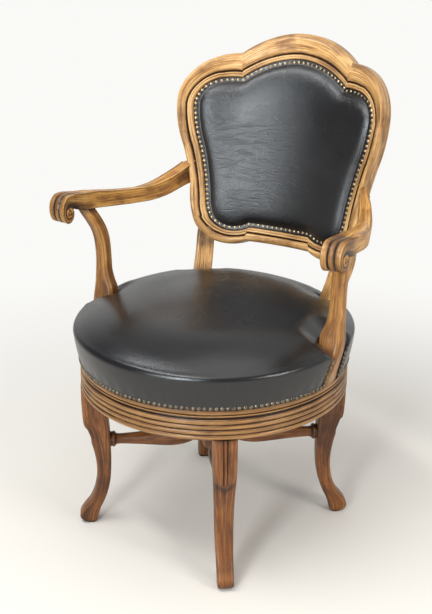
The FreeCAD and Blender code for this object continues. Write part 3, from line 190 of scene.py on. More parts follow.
def raised(tree, height, strength, distance):
    """The way a surface faces where a fine pattern stands out of it."""
    return wire_up(tree, "Bump", Height=height, Strength=strength, Distance=distance).outputs[0]


def new_finish(name):
    """A new material, its nodes, and the coordinates by which its pattern lies on a piece."""
    material = bpy.data.materials.new(name)
    material.use_nodes = True
    return material, material.node_tree, wire_up(material.node_tree, "TexCoord").outputs


def waxed_beech(name, worn, body, dark, groove, rough=0.36, space="UV"):
    """Stained, waxed beech: grain, dark smudges, light wear, and dark wax with painted shade in the hollows."""
    material, tree, where = new_finish(name)

    def streaks(across, lengthways, detail, distortion, space=space):
        stretch = wire_up(tree, "Mapping", Vector=where[space], Scale=(across, lengthways, across))
        return mottle(tree, stretch.outputs[0], 1.0, detail, Roughness=0.62, Distortion=distortion)

    figure = streaks(75.0, 6.5, 5.0, 0.9)
    grain = streaks(520.0, 15.0, 3.0, 0.25)
    flecks = streaks(1400.0, 170.0, 2.0, 0.0)
    blotch = streaks(17.0, 17.0, 4.0, 0.6, "Object")
    smear = streaks(70.0, 7.0, 6.0, 0.5)
    tone = sums(tree, "MULTIPLY_ADD", grain, 0.64, sums(tree, "MULTIPLY", blotch, 0.14))
    tone = sums(tree, "MULTIPLY_ADD", figure, 0.52, tone)
    ramp = wire_up(tree, "ValToRGB", Fac=tone)
    stops = ramp.color_ramp.elements
    stops[0].position, stops[0].color = 0.53, (*worn, 1)
    stops[1].position, stops[1].color = 0.79, (*dark, 1)
    stops.new(0.65).color = (*body, 1)
    # the shade attribute holds painted shade and wear: above 0 it darkens towards the groove colour, as dark
    # wax in the grooves and painted shade in hollows, joints and undersides; below 0 it lightens as wear
    shade = wire_up(tree, "Attribute", {"attribute_name": "shade"}).outputs["Fac"]
    shade_and_wear = sums(tree, "MULTIPLY", shade, sums(tree, "MULTIPLY_ADD", blotch, 1.3, 0.32))
    wax_and_painted_shade = wire_up(tree, "Clamp", Value=shade_and_wear).outputs[0]
    on_edge = wire_up(tree, "Clamp", Value=sums(tree, "MULTIPLY", shade_and_wear, -1.0)).outputs[0]
    # the smudges also darken a little where the painted shade lies
    smudge = sums(tree, "MULTIPLY", smear, sums(tree, "MULTIPLY_ADD", blotch, 0.5, 0.25))
    smudge = sums(tree, "MULTIPLY_ADD", smudge, 2.0, sums(tree, "MULTIPLY", shade_and_wear, 0.12))
    colour = mix_colours(tree, on_edge, ramp.outputs[0], worn)
    colour = mix_colours(tree, scaled(tree, smudge, 0.49, 0.68, 0.0, 0.72), colour, dark)
    colour = mix_colours(tree, wax_and_painted_shade, colour, groove)
    colour = mix_colours(tree, scaled(tree, flecks, 0.60, 0.75, 0.0, 0.5), colour, dark)
    height = sums(tree, "MULTIPLY_ADD", grain, 0.7, sums(tree, "MULTIPLY", flecks, 0.3))
    plug_in(
        tree, tree.nodes["Principled BSDF"], Base_Color=colour, Normal=raised(tree, height, 0.22, 0.0006),
        Roughness=scaled(tree, tone, 0.4, 0.9, rough - 0.05, rough + 0.16),
        Coat_Weight=0.14, Coat_Roughness=0.20, Specular_IOR_Level=0.35,
    )
    return material


def dress(piece, material, body, slot, *nodes):
    """Gives a piece its material and its body, and lets it stand for its CAD nodes."""
    piece.data.materials.clear()
    piece.data.materials.append(material)
    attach(piece, body)
    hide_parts(*nodes)


def turned_about_axis(x, y, degrees):
    """A place turned about the upright axis in the middle of the rings."""
    turn = math.radians(degrees)
    return x * math.cos(turn) - y * math.sin(turn), x * math.sin(turn) + y * math.cos(turn) + AXIS_Y


leg_wood = waxed_beech(
    "leg_beech", (0.28, 0.105, 0.026), (0.140, 0.046, 0.010), (0.050, 0.016, 0.005), (0.014, 0.006, 0.003),
    rough=0.42,
)
leg_plan = bar_plan(front=44, side=12, rear=8, corner=6)


def leg_shape(angle):
    """A leg at an angle round the axis: v is the share of its height, and u runs round it."""

    def shape(u, v):
        inner, outer, width = follow(LEG_LINE, v) * MM
        sole = SOLE_EDGE * (1 - ease(0.0, 0.014, v))
        x, y, out_x, out_y = bar_points(leg_plan, u, outer - inner - 2 * sole, width - 2 * sole, LEG_EDGE)
        outside = ease(0.2, 0.9, out_x)
        panel_foot = KNEE_TIP + (KNEE_CORNER - KNEE_TIP) * np.abs(y) / PANEL_HALF
        on_panel = ease(-0.004, 0.006, v - panel_foot) * ease(0.0006, -0.0004, np.abs(y) - PANEL_HALF)
        step = PANEL_STEP * ease(0.585, 0.64, v) * (1 - on_panel) * outside
        groove = ease(GROOVE_HALF, 0.0, np.abs(np.abs(y) - GROOVE_BESIDE)) * ease(0.685, 0.70, v) * outside
        r = RING_RADIUS + (inner + outer) / 2 + x - step - GROOVE_DEPTH * groove
        on_edge = np.abs(out_x * out_y) * 2
        # painted shade in the band under the knee panel's edge and at the top under the ring; the grooves are
        # darkened, the sole is dark, and the edges and a band by the toe are worn lighter
        below_panel = ease(0.045, 0.0, np.abs(v - panel_foot + 0.012)) * outside * ease(0.6, 0.63, v)
        shade = 0.95 * groove + 0.55 * below_panel - 0.30 * on_edge * ease(0.02, 0.08, v)
        shade = shade + 0.9 * ease(0.03, 0.0, v) + 0.5 * ease(0.965, 1.0, v)
        shade = shade - 0.55 * ease(0.05, 0.0, np.abs(v - 0.085)) * outside
        x, y = turned_about_axis(r, y, angle + BASE_TURN)
        return x, y, v * LEG_HEIGHT, shade

    return shape


for side, angle in LEG_ANGLES.items():
    leg = laid_grid("leg_" + side + "_shaped", leg_plan.shape[1], 170, leg_shape(angle), (0.15, 0.36))
    dress(leg, leg_wood, "base", "dark_beech", "leg_" + side)

# Stretchers. Four turned beech bars, each with a collar at its leg and a swelling towards the hub,
# tenoned into the legs and into the turned hub where they cross.
STRETCHER_HEIGHT = 0.1865
# the lathe's cuts: distance from the axis and radius, both in mm
STRETCHER_TURNING = [
    (10, 0.0), (10, 8.0), (40, 8.0), (44, 9.3), (50, 12.2), (62, 15.5), (76, 17.5), (88, 18.0), (104, 17.3),
    (124, 15.5), (146, 13.4), (168, 11.8), (186, 10.8), (194, 10.6), (198.5, 11.2), (200.8, 12.6),
    (201.2, 14.2), (202.4, 15.6), (204.4, 16.2), (206.6, 16.0), (207.4, 14.9), (208.2, 14.6), (209.4, 15.2),
    (210.6, 15.8), (211.8, 15.6), (211.9, 8.0), (227, 8.0), (227, 0.0),
]


def turning(v, line):
    """Distance along and radius of a turned piece, with its rows spread by the length of the cuts."""
    cuts = np.array(line, float) * MM
    run = np.concatenate([[0], np.cumsum(np.hypot(*np.diff(cuts, axis=0).T))])
    at = v * run[-1]
    return np.interp(at, run, cuts[:, 0]), np.interp(at, run, cuts[:, 1])


def stretcher_shape(angle):
    """A stretcher at its leg's angle: v runs outwards along it."""

    def shape(u, v):
        along, radius = turning(v, STRETCHER_TURNING)
        y, z = radius * np.cos(2 * math.pi * u), radius * np.sin(2 * math.pi * u)
        shade = 0.7 * ease(0.196, 0.2005, along) - 0.5 * ease(0.0155, 0.0162, radius) * ease(0.19, 0.2, along)
        shade = shade + 0.4 * ease(0.06, 0.03, along)
        x, y = turned_about_axis(along, y, angle + BASE_TURN)
        return x, y, z + STRETCHER_HEIGHT, shade

    return shape


for side, angle in LEG_ANGLES.items():
    bar = laid_grid("stretcher_" + side + "_turned", 56, 260, stretcher_shape(angle), (0.11, 0.26), sharp=50)
    dress(bar, leg_wood, "base", "dark_beech", "stretcher_" + side)

HUB_TURNING = [
    (-26, 0.0), (-26, 14.0), (-25.4, 17.5), (-23, 20.2), (-20.5, 21.6), (-19.6, 22.6), (-17.8, 23.6),
    (-15, 24.0), (15, 24.0), (17.8, 23.6), (19.6, 22.6), (20.5, 21.6), (23, 20.2), (25.4, 17.5), (26, 14.0),
    (26, 0.0),
]


def hub_shape(u, v):
    """The hub, turned about the upright axis, with dark wax and painted shade in the steps near its ends."""
    up, radius = turning(v, HUB_TURNING)
    x, y = radius * np.cos(2 * math.pi * u), radius * np.sin(2 * math.pi * u) + AXIS_Y
    shade = 0.5 * ease(0.019, 0.0205, np.abs(up)) * ease(0.0235, 0.022, radius)
    return x, y, up + STRETCHER_HEIGHT, shade


hub = laid_grid("stretcher_hub_turned", 72, 90, hub_shape, (0.15, 0.1))
dress(hub, leg_wood, "base", "dark_beech", "stretcher_hub")

# Base ring. A ring bent and glued from beech with four reeds round it and a hollow over them, stained honey
# brown with painted shade in the hollow and between the reeds: the legs' dowels go up into it and the cross
# rails are tenoned into its inside.
RING_TOP = LEG_HEIGHT + 0.049
RING_INSIDE = 0.207
REEDS, REED, REED_DEPTH, TOP_REED_STRETCH = 4, 0.0102, 0.0035, 1.22
# the hollow over the reeds: height over the legs and depth, both in mm, and shade
HOLLOW = [
    (42.4, 4.2, 1.4), (43.2, 4.9, 1.4), (44.2, 5.2, 1.4), (45.2, 4.6, 1.3), (46.0, 3.0, 0.8),
    (46.5, 1.4, 0.2), (47.2, 0.6, -0.3), (48.0, 0.6, -0.5), (48.7, 1.4, -0.4), (49.0, 3.0, 0.2),
    (49.0, 12.0, 0.6),
]


def reed_profile():
    """Radius, height and shade round the section of the base ring, from its inner lower edge."""
    line = [(RING_INSIDE, LEG_HEIGHT + 0.001, 0.2), (RING_INSIDE + 0.001, LEG_HEIGHT, 0.2)]
    line += [(RING_RADIUS - REED_DEPTH - 0.0015, LEG_HEIGHT, 0.5)]
    round_radius = (REED * REED / 4 + REED_DEPTH * REED_DEPTH) / (2 * REED_DEPTH)
    half_turn = math.asin(REED / 2 / round_radius)
    for reed in range(REEDS):
        middle = LEG_HEIGHT + REED * (reed + 0.5)
        for turn in np.linspace(-half_turn, half_turn, 15):
            r = RING_RADIUS - round_radius + round_radius * math.cos(turn)
            deep = (RING_RADIUS - r) / REED_DEPTH
            stretch = TOP_REED_STRETCH if reed == REEDS - 1 and turn > 0 else 1.0
            # painted shade deepens towards the valleys between the reeds, and their crests are a little lighter
            shade = 1.4 * max(0.0, deep - 0.36) / 0.64 - 0.3 * (deep < 0.12)
            line.append((r, middle + round_radius * math.sin(turn) * stretch, shade))
    line += [(RING_RADIUS - deep * MM, LEG_HEIGHT + up * MM, shade) for up, deep, shade in HOLLOW]
    line += [(RING_INSIDE + 0.001, RING_TOP, 0.5), (RING_INSIDE, RING_TOP - 0.001, 0.3)]
    return np.array(line + line[:1])


def ring_shape(profile):
    """A ring about the axis: u runs round its section and v round the chair."""

    def shape(u, v):
        at = u * (len(profile) - 1)
        r, z, shade = (np.interp(at, np.arange(len(profile)), column) for column in profile.T)
        turn = 2 * math.pi * v
        return r * np.cos(turn), r * np.sin(turn) + AXIS_Y, z, shade

    return shape


honey_beech = waxed_beech(
    "honey_beech", (0.46, 0.25, 0.09), (0.18, 0.080, 0.024), (0.065, 0.023, 0.007), (0.022, 0.009, 0.004)
)
reeds = reed_profile()
base_ring = laid_grid(
    "base_ring_reeded", len(reeds) - 1, 240, ring_shape(reeds), (0.25, 1.66), closed=False, sharp=60
)
dress(base_ring, honey_beech, "base", "beech", "base_ring")

# Seat ring. A second bent ring that carries the seat; only its rounded lip shows under the leather.
# The posts of the arms and of the back are housed in notches round it and screwed from inside.
LIP_LOW, LIP_TOP, LIP_RADIUS = 0.3640, 0.3735, 0.264
HOOP_INSIDE, HOOP_TOP, HOOP_RADIUS = 0.2161, 0.418, 0.2611
# the rounded lip: how far out and up from its lower edge, both in mm, and shade
LIP_ROLL = [
    (-2.6, 0.1, 0.6), (-1.2, 0.5, 0.3), (-0.3, 1.4, -0.1), (0.0, 2.8, -0.3), (0.0, 5.0, -0.2), (-0.1, 7.0, 0.0),
    (-0.5, 8.3, 0.4), (-1.4, 9.2, 0.9), (-2.6, 9.5, 1.0),
]


def lip_profile():
    """Radius, height and shade round the section of the seat ring, from its inner lower edge."""
    line = [(HOOP_INSIDE, LIP_LOW + 0.001, 0.3), (HOOP_INSIDE + 0.001, LIP_LOW, 0.3)]
    line += [(LIP_RADIUS - 0.008, LIP_LOW, 0.5)]
    line += [(LIP_RADIUS + out * MM, LIP_LOW + up * MM, shade) for out, up, shade in LIP_ROLL]
    line += [(HOOP_RADIUS, LIP_TOP, 0.9), (HOOP_RADIUS, HOOP_TOP, 0.3), (HOOP_INSIDE, HOOP_TOP, 0.3)]
    return np.array(line + line[:1])


lip = lip_profile()
seat_ring = laid_grid(
    "seat_ring_lipped", (len(lip) - 1) * 2, 240, ring_shape(lip), (0.2, 1.66), closed=False, sharp=60
)
dress(seat_ring, honey_beech, "seat", "beech", "seat_ring")

# Arm posts. Each swells over the cushion's edge, leans back and then curves forward under its arm,
# cut from one piece of beech with soft arrises, and housed in the seat ring's notch.
SIDES = {"left": 1, "right": -1}
POST_FORWARD, POST_TALL = 18.0, 268.0
POST_CROWN, POST_EDGE, SLIM_EDGE = 0.0012, 0.0065, 0.0085
# height over the lip, inner and outer face outside the reeds, middle in front of the foot, and depth, in mm
POST_LINE = [
    (0, -29.0, -2.5, 0.0, 46.0),
    (18, -28.9, 1.0, -1.5, 44.7),
    (36, -29.2, 4.9, -4.9, 42.0),
    (54, -30.4, 8.7, -10.1, 38.2),
    (72, -32.5, 10.7, -15.0, 34.9),
    (90, -31.2, 10.2, -18.2, 32.7),
    (108, -24.1, 9.2, -19.5, 30.5),
    (126, -19.4, 8.8, -20.4, 29.0),
    (144, -17.9, 8.5, -21.4, 28.6),
    (162, -17.1, 8.7, -21.6, 28.4),
    (180, -16.5, 9.5, -21.0, 28.5),
    (198, -14.8, 11.1, -19.3, 28.7),
    (216, -11.8, 14.3, -15.1, 29.3),
    (234, -7.1, 19.5, -7.6, 30.5),
    (252, 0.1, 25.9, 0.4, 32.0),
    (268, 8.0, 31.0, 7.0, 33.0),
]
post_plan = bar_plan(front=18, side=18, rear=14, corner=7)


def post_shape(side):
    """An arm post: v is the share of its height, and u runs round it."""

    def shape(u, v):
        height = v * POST_TALL
        inner, outer, forward, deep = follow(POST_LINE, height) * MM
        edge = POST_EDGE + (SLIM_EDGE - POST_EDGE) * ease(0.0, 60.0, height)
        x, y, out_x, out_y = bar_points(post_plan, u, outer - inner, deep, edge)
        x = x + POST_CROWN * np.cos(y / deep * math.pi) * np.sign(out_x) * (np.abs(out_x) > 0.3)
        r = RING_RADIUS + (inner + outer) / 2 + x
        foot = ease(70.0, 0.0, height)
        # painted shade: darker on the inner face under the arm, on the rear face and over the whole post on the
        # sitter's right; darker also at the foot, and lighter on the worn arrises
        shade = -0.7 * np.abs(out_x * out_y) + 0.5 * ease(12.0, 0.0, height) + 0.16 * (side < 0)
        shade = shade + 0.75 * ease(246.0, 262.0, height) * ease(0.4, -0.4, out_x)
        shade = shade + 0.25 * foot * ease(0.0, -0.8, out_x) + 0.35 * ease(0.3, 0.9, out_y) * (1 - foot)
        return side * r, AXIS_Y - POST_FORWARD * MM - forward + y, LIP_TOP + height * MM, shade

    return shape


post_beech = waxed_beech(
    "post_beech", (0.50, 0.26, 0.070), (0.31, 0.130, 0.031), (0.10, 0.034, 0.010), (0.022, 0.010, 0.005)
)
for name, side in SIDES.items():
    post = laid_grid("arm_post_" + name + "_shaped", post_plan.shape[1], 130, post_shape(side), (0.12, 0.27))
    dress(post, post_beech, "seat", "beech", "arm_post_" + name)

# Arms. Each springs from the side of the back, dips while it bows outwards and rolls over into a volute
# round a small eye, with three ridges that run on from its top. It is pinned to the back's stile.
SCROLL = Vector((290.0, -78.0, 271.0)) * MM
SCROLL_TURN = math.radians(7)
ARM_REACH, ARM_CROWN, FLUTE_DEPTH = 0.334, 0.0020, 0.0030
# in mm: the eye's place and size, and the radius of the arm's edges, of the volute's and of the least of them
EYE_FORWARD, EYE_LOW, EYE_RADIUS = 9.0, 2.2, 12.0
BAR_EDGE, VOLUTE_EDGE, LEAST_EDGE = 8.5, 3.2, 1.0
# where the two flutes lie and how wide they are, as shares of half the arm's width
FLUTE_BESIDE, FLUTE_HALF = 0.34, 0.17
# share of the way forward, beside and over the scroll's middle, width and height, in mm
ARM_LINE = [
    (0.000, -90.0, 15.0, 30.0, 46.0),
    (0.101, -71.0, 0.5, 32.0, 36.0),
    (0.233, -54.0, -12.5, 33.0, 32.0),
    (0.326, -43.0, -16.0, 33.0, 30.0),
    (0.466, -27.0, -13.0, 34.0, 30.0),
    (0.615, -15.0, -6.0, 35.0, 31.0),
    (0.780, -7.5, 4.0, 35.5, 33.0),
    (0.900, -3.0, 10.0, 36.5, 33.0),
]
# turn forward from the top, distance of the rolled band's outside from the eye's middle, in mm
VOLUTE = [
    (-20, 35.5), (8, 33.0), (40, 28.0), (70, 23.0), (100, 20.5), (135, 20.3), (170, 21.5), (200, 20.5),
    (235, 18.0), (270, 15.5), (305, 13.5), (340, 12.0),
]
arm_beech = waxed_beech(
    "arm_beech", (0.66, 0.37, 0.105), (0.46, 0.215, 0.052), (0.13, 0.048, 0.014), (0.022, 0.010, 0.005)
)
arm_plan = bar_plan(front=22, side=20, rear=26, corner=7)


def arm_rows():
    """Rows along the arm and round its volute: run, beside, top and underside y and z, width, edge, ridges."""
    rows = []
    share, _, above, _, _ = np.array(ARM_LINE).T
    leaning = np.gradient(above, share * ARM_REACH / MM)
    for (share, beside, above, wide, high), lean in zip(ARM_LINE, leaning):
        y = ARM_REACH / MM * (1 - share)
        out_y, out_z = -lean / math.hypot(1, lean) * high / 2, 1 / math.hypot(1, lean) * high / 2
        edges = (y - out_y, above + out_z, y + out_y, above - out_z)
        rows.append((beside, *edges, wide, BAR_EDGE, ease(0.80, 0.95, share)))
    for turn, radius in VOLUTE:
        across, up = -math.sin(math.radians(turn)), math.cos(math.radians(turn))
        edges = []
        for reach in (radius, min(EYE_RADIUS - 3.0, radius - 3.5)):
            edges += [across * reach - EYE_FORWARD, up * reach - EYE_LOW]
        rows.append((0.0, *edges, 38.0 - 1.5 * ease(150, 330, turn), VOLUTE_EDGE, 1.0))
    rows = np.array(rows, float)
    run = np.concatenate([[0], np.cumsum(np.hypot(np.diff(rows[:, 1]), np.diff(rows[:, 2])))])
    return np.column_stack([run / run[-1], rows])


arm_line = arm_rows()


def ridges(across):
    """1 on the three flat ridges of the arm's outside and 0 in its two flutes."""
    return 1 - ease(FLUTE_HALF, 0.0, np.abs(np.abs(across) - FLUTE_BESIDE))


def arm_shape(side):
    """An arm: v runs from the back to the end of the volute, and u round the bar."""

    def shape(u, v):
        beside, top_y, top_z, low_y, low_z, wide, edge, carved = follow(arm_line, v)
        before, after = (follow(arm_line, np.clip(v + near, 0, 1))[:2] for near in (-0.004, 0.004))
        swing = np.arctan2(after[0] - before[0], np.abs(after[1] - before[1]) + 1e-6)
        swing = swing * ease(0.75, 0.45, v) - SCROLL_TURN * ease(0.45, 0.75, v)
        high = np.hypot(top_y - low_y, top_z - low_z)
        across, up, out_x, out_y = bar_points(arm_plan, u, wide * MM, high * MM, LEAST_EDGE * MM)
        # the bar's edges are rounder than the volute's
        rounder = (edge - LEAST_EDGE) * MM * (np.abs(out_x * out_y) > 0.001)
        across = across - np.sign(across) * rounder * (1 - np.abs(out_x))
        up = up - np.sign(up) * rounder * (1 - np.abs(out_y))
        place = across / (wide * MM / 2)
        cut = FLUTE_DEPTH * (1 - ridges(place)) * carved * (out_y > 0.75)
        crown = np.cos(place * math.pi / 2) - ease(-0.4, 1.0, place)
        up = up + ARM_CROWN * crown * (out_y > 0.3) * (1 - carved) - cut
        x = beside * MM + np.cos(swing) * across
        y = (top_y + low_y) / 2 * MM + (top_y - low_y) / high * up - np.sin(swing) * across
        z = (top_z + low_z) / 2 * MM + (top_z - low_z) / high * up
        # painted shade darkens the bar's underside and the volute's side faces towards the eye; the arm is also
        # darker where it meets the stile and over its carving, the flutes are darker, and the arrises are worn
        # lighter
        shade = ease(0.0008, 0.0024, cut) - 0.7 * np.abs(out_x * out_y) + 0.35 * carved
        shade = shade + 1.1 * ease(0.13, 0.0, v) * ease(-0.2, 0.8, np.abs(out_x))
        shade = shade + 0.3 * ease(-0.3, -0.9, out_y) * (1 - carved)
        shade = shade + 0.8 * carved * ease(0.75, 1.0, np.abs(out_x)) * ease(0.1, -0.9, up / (high * MM / 2))
        return side * (SCROLL.x + x), SCROLL.y + y + AXIS_Y, LIP_TOP + SCROLL.z + z, shade

    return shape


# the eye's turned face: place across the scroll and radius, both in mm
EYE_TURNING = [
    (-20.2, 0.0), (-20.4, 2.0), (-19.8, 3.4), (-19.2, 4.4), (-19.8, 5.6), (-20.2, 7.6), (-19.8, 9.6),
    (-18.6, 11.2), (-16.5, 12.0),
]


def eye_shape(side):
    """The turned eye that closes a scroll, with the same face on both ends."""
    cuts = EYE_TURNING + [(-a, b) for a, b in reversed(EYE_TURNING)]

    def shape(u, v):
        across, radius = turning(v, cuts)
        x = across * math.cos(SCROLL_TURN)
        y = radius * np.cos(2 * math.pi * u) + across * math.sin(SCROLL_TURN) - EYE_FORWARD * MM
        z = radius * np.sin(2 * math.pi * u) - EYE_LOW * MM
        shade = 0.9 * ease(0.0014, 0.0, np.abs(radius - 0.0044)) + 0.6 * ease(0.0108, 0.012, radius)
        shade = shade - 0.3 * ease(0.0015, 0.0, np.abs(radius - 0.0076))
        return side * (SCROLL.x + x), SCROLL.y + y + AXIS_Y, LIP_TOP + SCROLL.z + z, shade

    return shape


def joined(name, *pieces):
    """Several meshes made into one piece."""
    bpy.ops.object.select_all(action="DESELECT")
    for piece in pieces:
        piece.select_set(True)
    bpy.context.view_layer.objects.active = pieces[0]
    bpy.ops.object.join()
    pieces[0].name = pieces[0].data.name = name
    return pieces[0]


for name, side in SIDES.items():
    bar = laid_grid("arm_bar_" + name, arm_plan.shape[1], 260, arm_shape(side), (0.13, 0.47), sharp=50)
    eye = laid_grid("arm_eye_" + name, 48, 60, eye_shape(side), (0.08, 0.06), sharp=50)
    arm = joined("arm_" + name + "_carved", bar, eye)
    dress(arm, arm_beech, "seat", "beech", "arm_" + name)

# Back frame. A bent beech board cut to a scalloped outline, in four lengths: two stiles that run down
# into posts, a crest rail and a bottom rail, dowelled together. Round the leather runs a bead, a thin
# groove and a deep groove, and outside them a broad convex band.
BACK_FOOT, BACK_SLOPE, BACK_BOW, BACK_THICK = 0.2385, 0.2383, 0.320, 0.042
BACK_LIFT = 0.140
# ends and middles of arcs from the middle of the top to the middle of the bottom, in mm
OUTER_EDGE = [
    (0, 434), (67, 423), (127, 390), (158, 387), (187, 377), (219, 347), (232, 297), (229, 257), (217, 209),
    (202, 152), (196, 119), (193, 84), (186, 53), (173, 25), (152, 5), (131, -4), (108, -7), (91, -5),
    (76, 1), (40, 0.5), (0, 0),
]
NAIL_EDGE = [
    (0, 376), (62, 364), (117, 333.5), (135, 334.6), (152, 333), (184, 318.5), (197, 285.5), (192, 246),
    (180.5, 203), (166, 142), (157.5, 86), (153.5, 66), (146, 49), (128, 34), (105, 28), (86, 30.5),
    (70, 37.5), (35, 36.3), (0, 36),
]
# arc ends that face each other on the two outlines, by their place in the lists above
FACING = [(0, 0), (2, 2), (6, 6), (8, 8), (12, 12), (14, 16), (16, 18), (18, 20)]
POINTS_PER_MM = 0.55


def along_arcs(points, count):
    """Evenly spaced points along a run of arcs: ends and middles by turns."""
    steps = np.linspace(0, 1, 25)[:-1]
    line = []
    for k in range(0, len(points) - 1, 2):
        a, b, c = (complex(*p) for p in points[k : k + 3])
        w = (c - a) / (b - a)
        if abs(w.imag) < 1e-6:
            line += list(a + (c - a) * steps)
            continue
        centre = (b - a) * (w - abs(w) ** 2) / (2j * w.imag) + a
        sweep = np.angle((b - centre) / (a - centre)) + np.angle((c - centre) / (b - centre))
        line += list(centre + (a - centre) * np.exp(1j * sweep * steps))
    line = np.array(line + [complex(*points[-1])])
    run = np.concatenate([[0], np.cumsum(np.abs(np.diff(line)))])
    at = np.linspace(0, run[-1], count + 1)
    return np.interp(at, run, line.real) + 1j * np.interp(at, run, line.imag)


def facing_lines():
    """The nail line and the outer edge round the whole back, point by point facing each other."""
    halves = [], []
    for (n0, o0), (n1, o1) in zip(FACING, FACING[1:]):
        length = abs(complex(*NAIL_EDGE[n1]) - complex(*NAIL_EDGE[n0]))
        count = max(6, round(length * POINTS_PER_MM))
        for half, arcs in zip(halves, (NAIL_EDGE[n0 : n1 + 1], OUTER_EDGE[o0 : o1 + 1])):
            half.extend(along_arcs(arcs, count)[:-1])
    for half, edge in zip(halves, (NAIL_EDGE, OUTER_EDGE)):
        half.append(complex(*edge[-1]))
        yield np.array(half + [-np.conj(point) for point in half[-2::-1]])


def on_line(line, at):
    """The points at places along a line, counted in its points."""
    index = np.arange(len(line))
    return np.interp(at, index, line.real) + 1j * np.interp(at, index, line.imag)


nail_line, outer_line = facing_lines()
whole_run = len(nail_line) - 1
line_run = np.concatenate([[0], np.cumsum(np.abs(np.diff(nail_line)))])
line_way = np.gradient(nail_line)
line_out = line_way / np.abs(line_way) * 1j
line_out = line_out * np.sign((line_out * np.conj(outer_line - nail_line)).real)
line_width = np.abs(((outer_line - nail_line) * np.conj(line_out)).real)


def on_back(place, depth):
    """A place on the bent, leaning board: beside its middle, over its foot and behind its face, in mm."""
    x, z, depth = place.real * MM, place.imag * MM, depth * MM
    y = BACK_FOOT + BACK_SLOPE * (z + BACK_LIFT) - (BACK_BOW - np.sqrt(BACK_BOW**2 - x * x))
    back = (np.sqrt((BACK_BOW + depth) ** 2 - x * x) - np.sqrt(BACK_BOW**2 - x * x)) / (1 + BACK_SLOPE**2)
    return x, y + back + AXIS_Y, LIP_TOP + BACK_LIFT + z - BACK_SLOPE * back


# The bead and the grooves keep their distance from the nails and the band takes the rest of the width:
# distance outside the nails in mm, share of the band, depth in mm, and shade.
BAND_FROM = 19.0
MOULDING = [
    (-11.0, 0, 7.6, 0.5), (-11.0, 0, 41.4, 0.5), (-10.0, 0, 42.0, 0.3), (0.0, 0, 42.0, 0.2),
    (6.0, 0, 42.0, 0.2), (19.0, 0.30, 42.0, 0.1), (19.0, 0.60, 42.0, 0.0), (19.0, 0.80, 41.9, 0.0),
    (19.0, 0.90, 41.4, -0.1), (19.0, 0.96, 40.4, -0.25), (19.0, 0.992, 38.4, -0.3), (19.0, 1.0, 35.5, 0.0),
    (19.0, 1.0, 28.0, 0.1), (19.0, 1.0, 21.0, 0.1), (19.0, 0.998, 15.5, 0.1), (19.0, 0.985, 11.5, 0.15),
    (19.0, 0.955, 8.0, 0.0), (19.0, 0.90, 5.0, -0.15), (19.0, 0.82, 3.0, -0.15), (19.0, 0.72, 1.6, -0.1),
    (19.0, 0.60, 0.7, 0.0), (19.0, 0.48, 0.2, 0.0), (19.0, 0.36, 0.0, 0.0), (19.0, 0.26, 0.1, 0.0),
    (19.0, 0.17, 0.6, -0.1), (19.0, 0.10, 1.4, -0.2), (19.0, 0.05, 2.3, 0.0), (19.0, 0.015, 3.2, 0.6),
    (18.3, 0, 4.6, 1.2), (17.4, 0, 5.4, 1.3), (16.5, 0, 4.6, 1.2), (15.8, 0, 2.8, 0.6), (15.0, 0, 1.9, -0.1),
    (14.0, 0, 1.6, -0.3), (13.0, 0, 1.7, -0.1), (12.3, 0, 1.9, 0.05), (11.7, 0, 2.3, 0.25),
    (11.1, 0, 2.3, 0.25), (10.6, 0, 1.9, 0.0), (9.9, 0, 1.7, -0.25), (8.8, 0, 1.6, -0.3),
    (7.7, 0, 2.2, -0.15), (6.9, 0, 3.3, 0.2), (6.3, 0, 4.8, 0.7), (5.9, 0, 6.6, 1.0), (5.8, 0, 7.6, 1.0),
]
moulding = np.array(MOULDING + MOULDING[:1])
CREST_GRAIN = 0.25


def moulded_shape(start, end):
    """The moulding between two places along the nail line: u runs round its section and v along it."""

    def shape(u, v):
        column, index = u * (len(moulding) - 1), np.arange(len(moulding))
        fixed, rest, depth, shade = (np.interp(column, index, values) for values in moulding.T)
        at = (start + (end - start) * v) % whole_run
        nail, outer = on_line(nail_line, at), on_line(outer_line, at)
        width = np.interp(at, np.arange(len(nail_line)), line_width)
        share = (fixed + rest * (width - BAND_FROM)) / width
        return (*on_back(nail + (outer - nail) * share, depth), shade)

    return shape


def joint_at(x, points):
    """Which of some points of the nail line lies nearest to the joint at x, on the sitter's left."""
    return min(points, key=lambda k: abs((nail_line[k].real + outer_line[k].real) / 2 - x))


CREST_JOINT, BOTTOM_JOINT, HALF_WAY_UP = 120.0, 73.0, 206.0
upper = [k for k in range(whole_run // 2) if nail_line[k].imag > HALF_WAY_UP]
crest_joint = joint_at(CREST_JOINT, upper)
bottom_joint = joint_at(BOTTOM_JOINT, range(len(upper), whole_run // 2))
frame_beech = waxed_beech(
    "frame_beech", (0.80, 0.52, 0.23), (0.52, 0.270, 0.084), (0.12, 0.044, 0.013), (0.022, 0.009, 0.004)
)


def moulded(name, start, end):
    """One length of the moulded board, with its grain along it."""
    grain = (line_run[end] - line_run[start]) * MM if start > 0 else CREST_GRAIN
    around, along = len(moulding) - 1, end - start
    return laid_grid(name, around, along, moulded_shape(start, end), (0.20, grain * 1.15), sharp=55)


POST_SPREAD, POST_FOOT, BACK_POST_WIDE, BACK_POST_DEEP = 0.153, 0.147, 0.038, 0.027
BACK_POST_TALL, BACK_POST_EDGE = 168.0, 0.006
FOOT_RADIUS = HOOP_RADIUS + 0.0005 - BACK_POST_DEEP / 2
# height over the lip in mm, and how far the post has gone over from the ring's curve to the board's
BACK_POST_LINE = [(0.0, 0.0), (44.0, 0.03), (78.0, 0.42), (109.0, 0.78), (140.0, 1.0), (168.0, 1.0)]
back_post_plan = bar_plan(front=16, side=14, rear=16, corner=6)


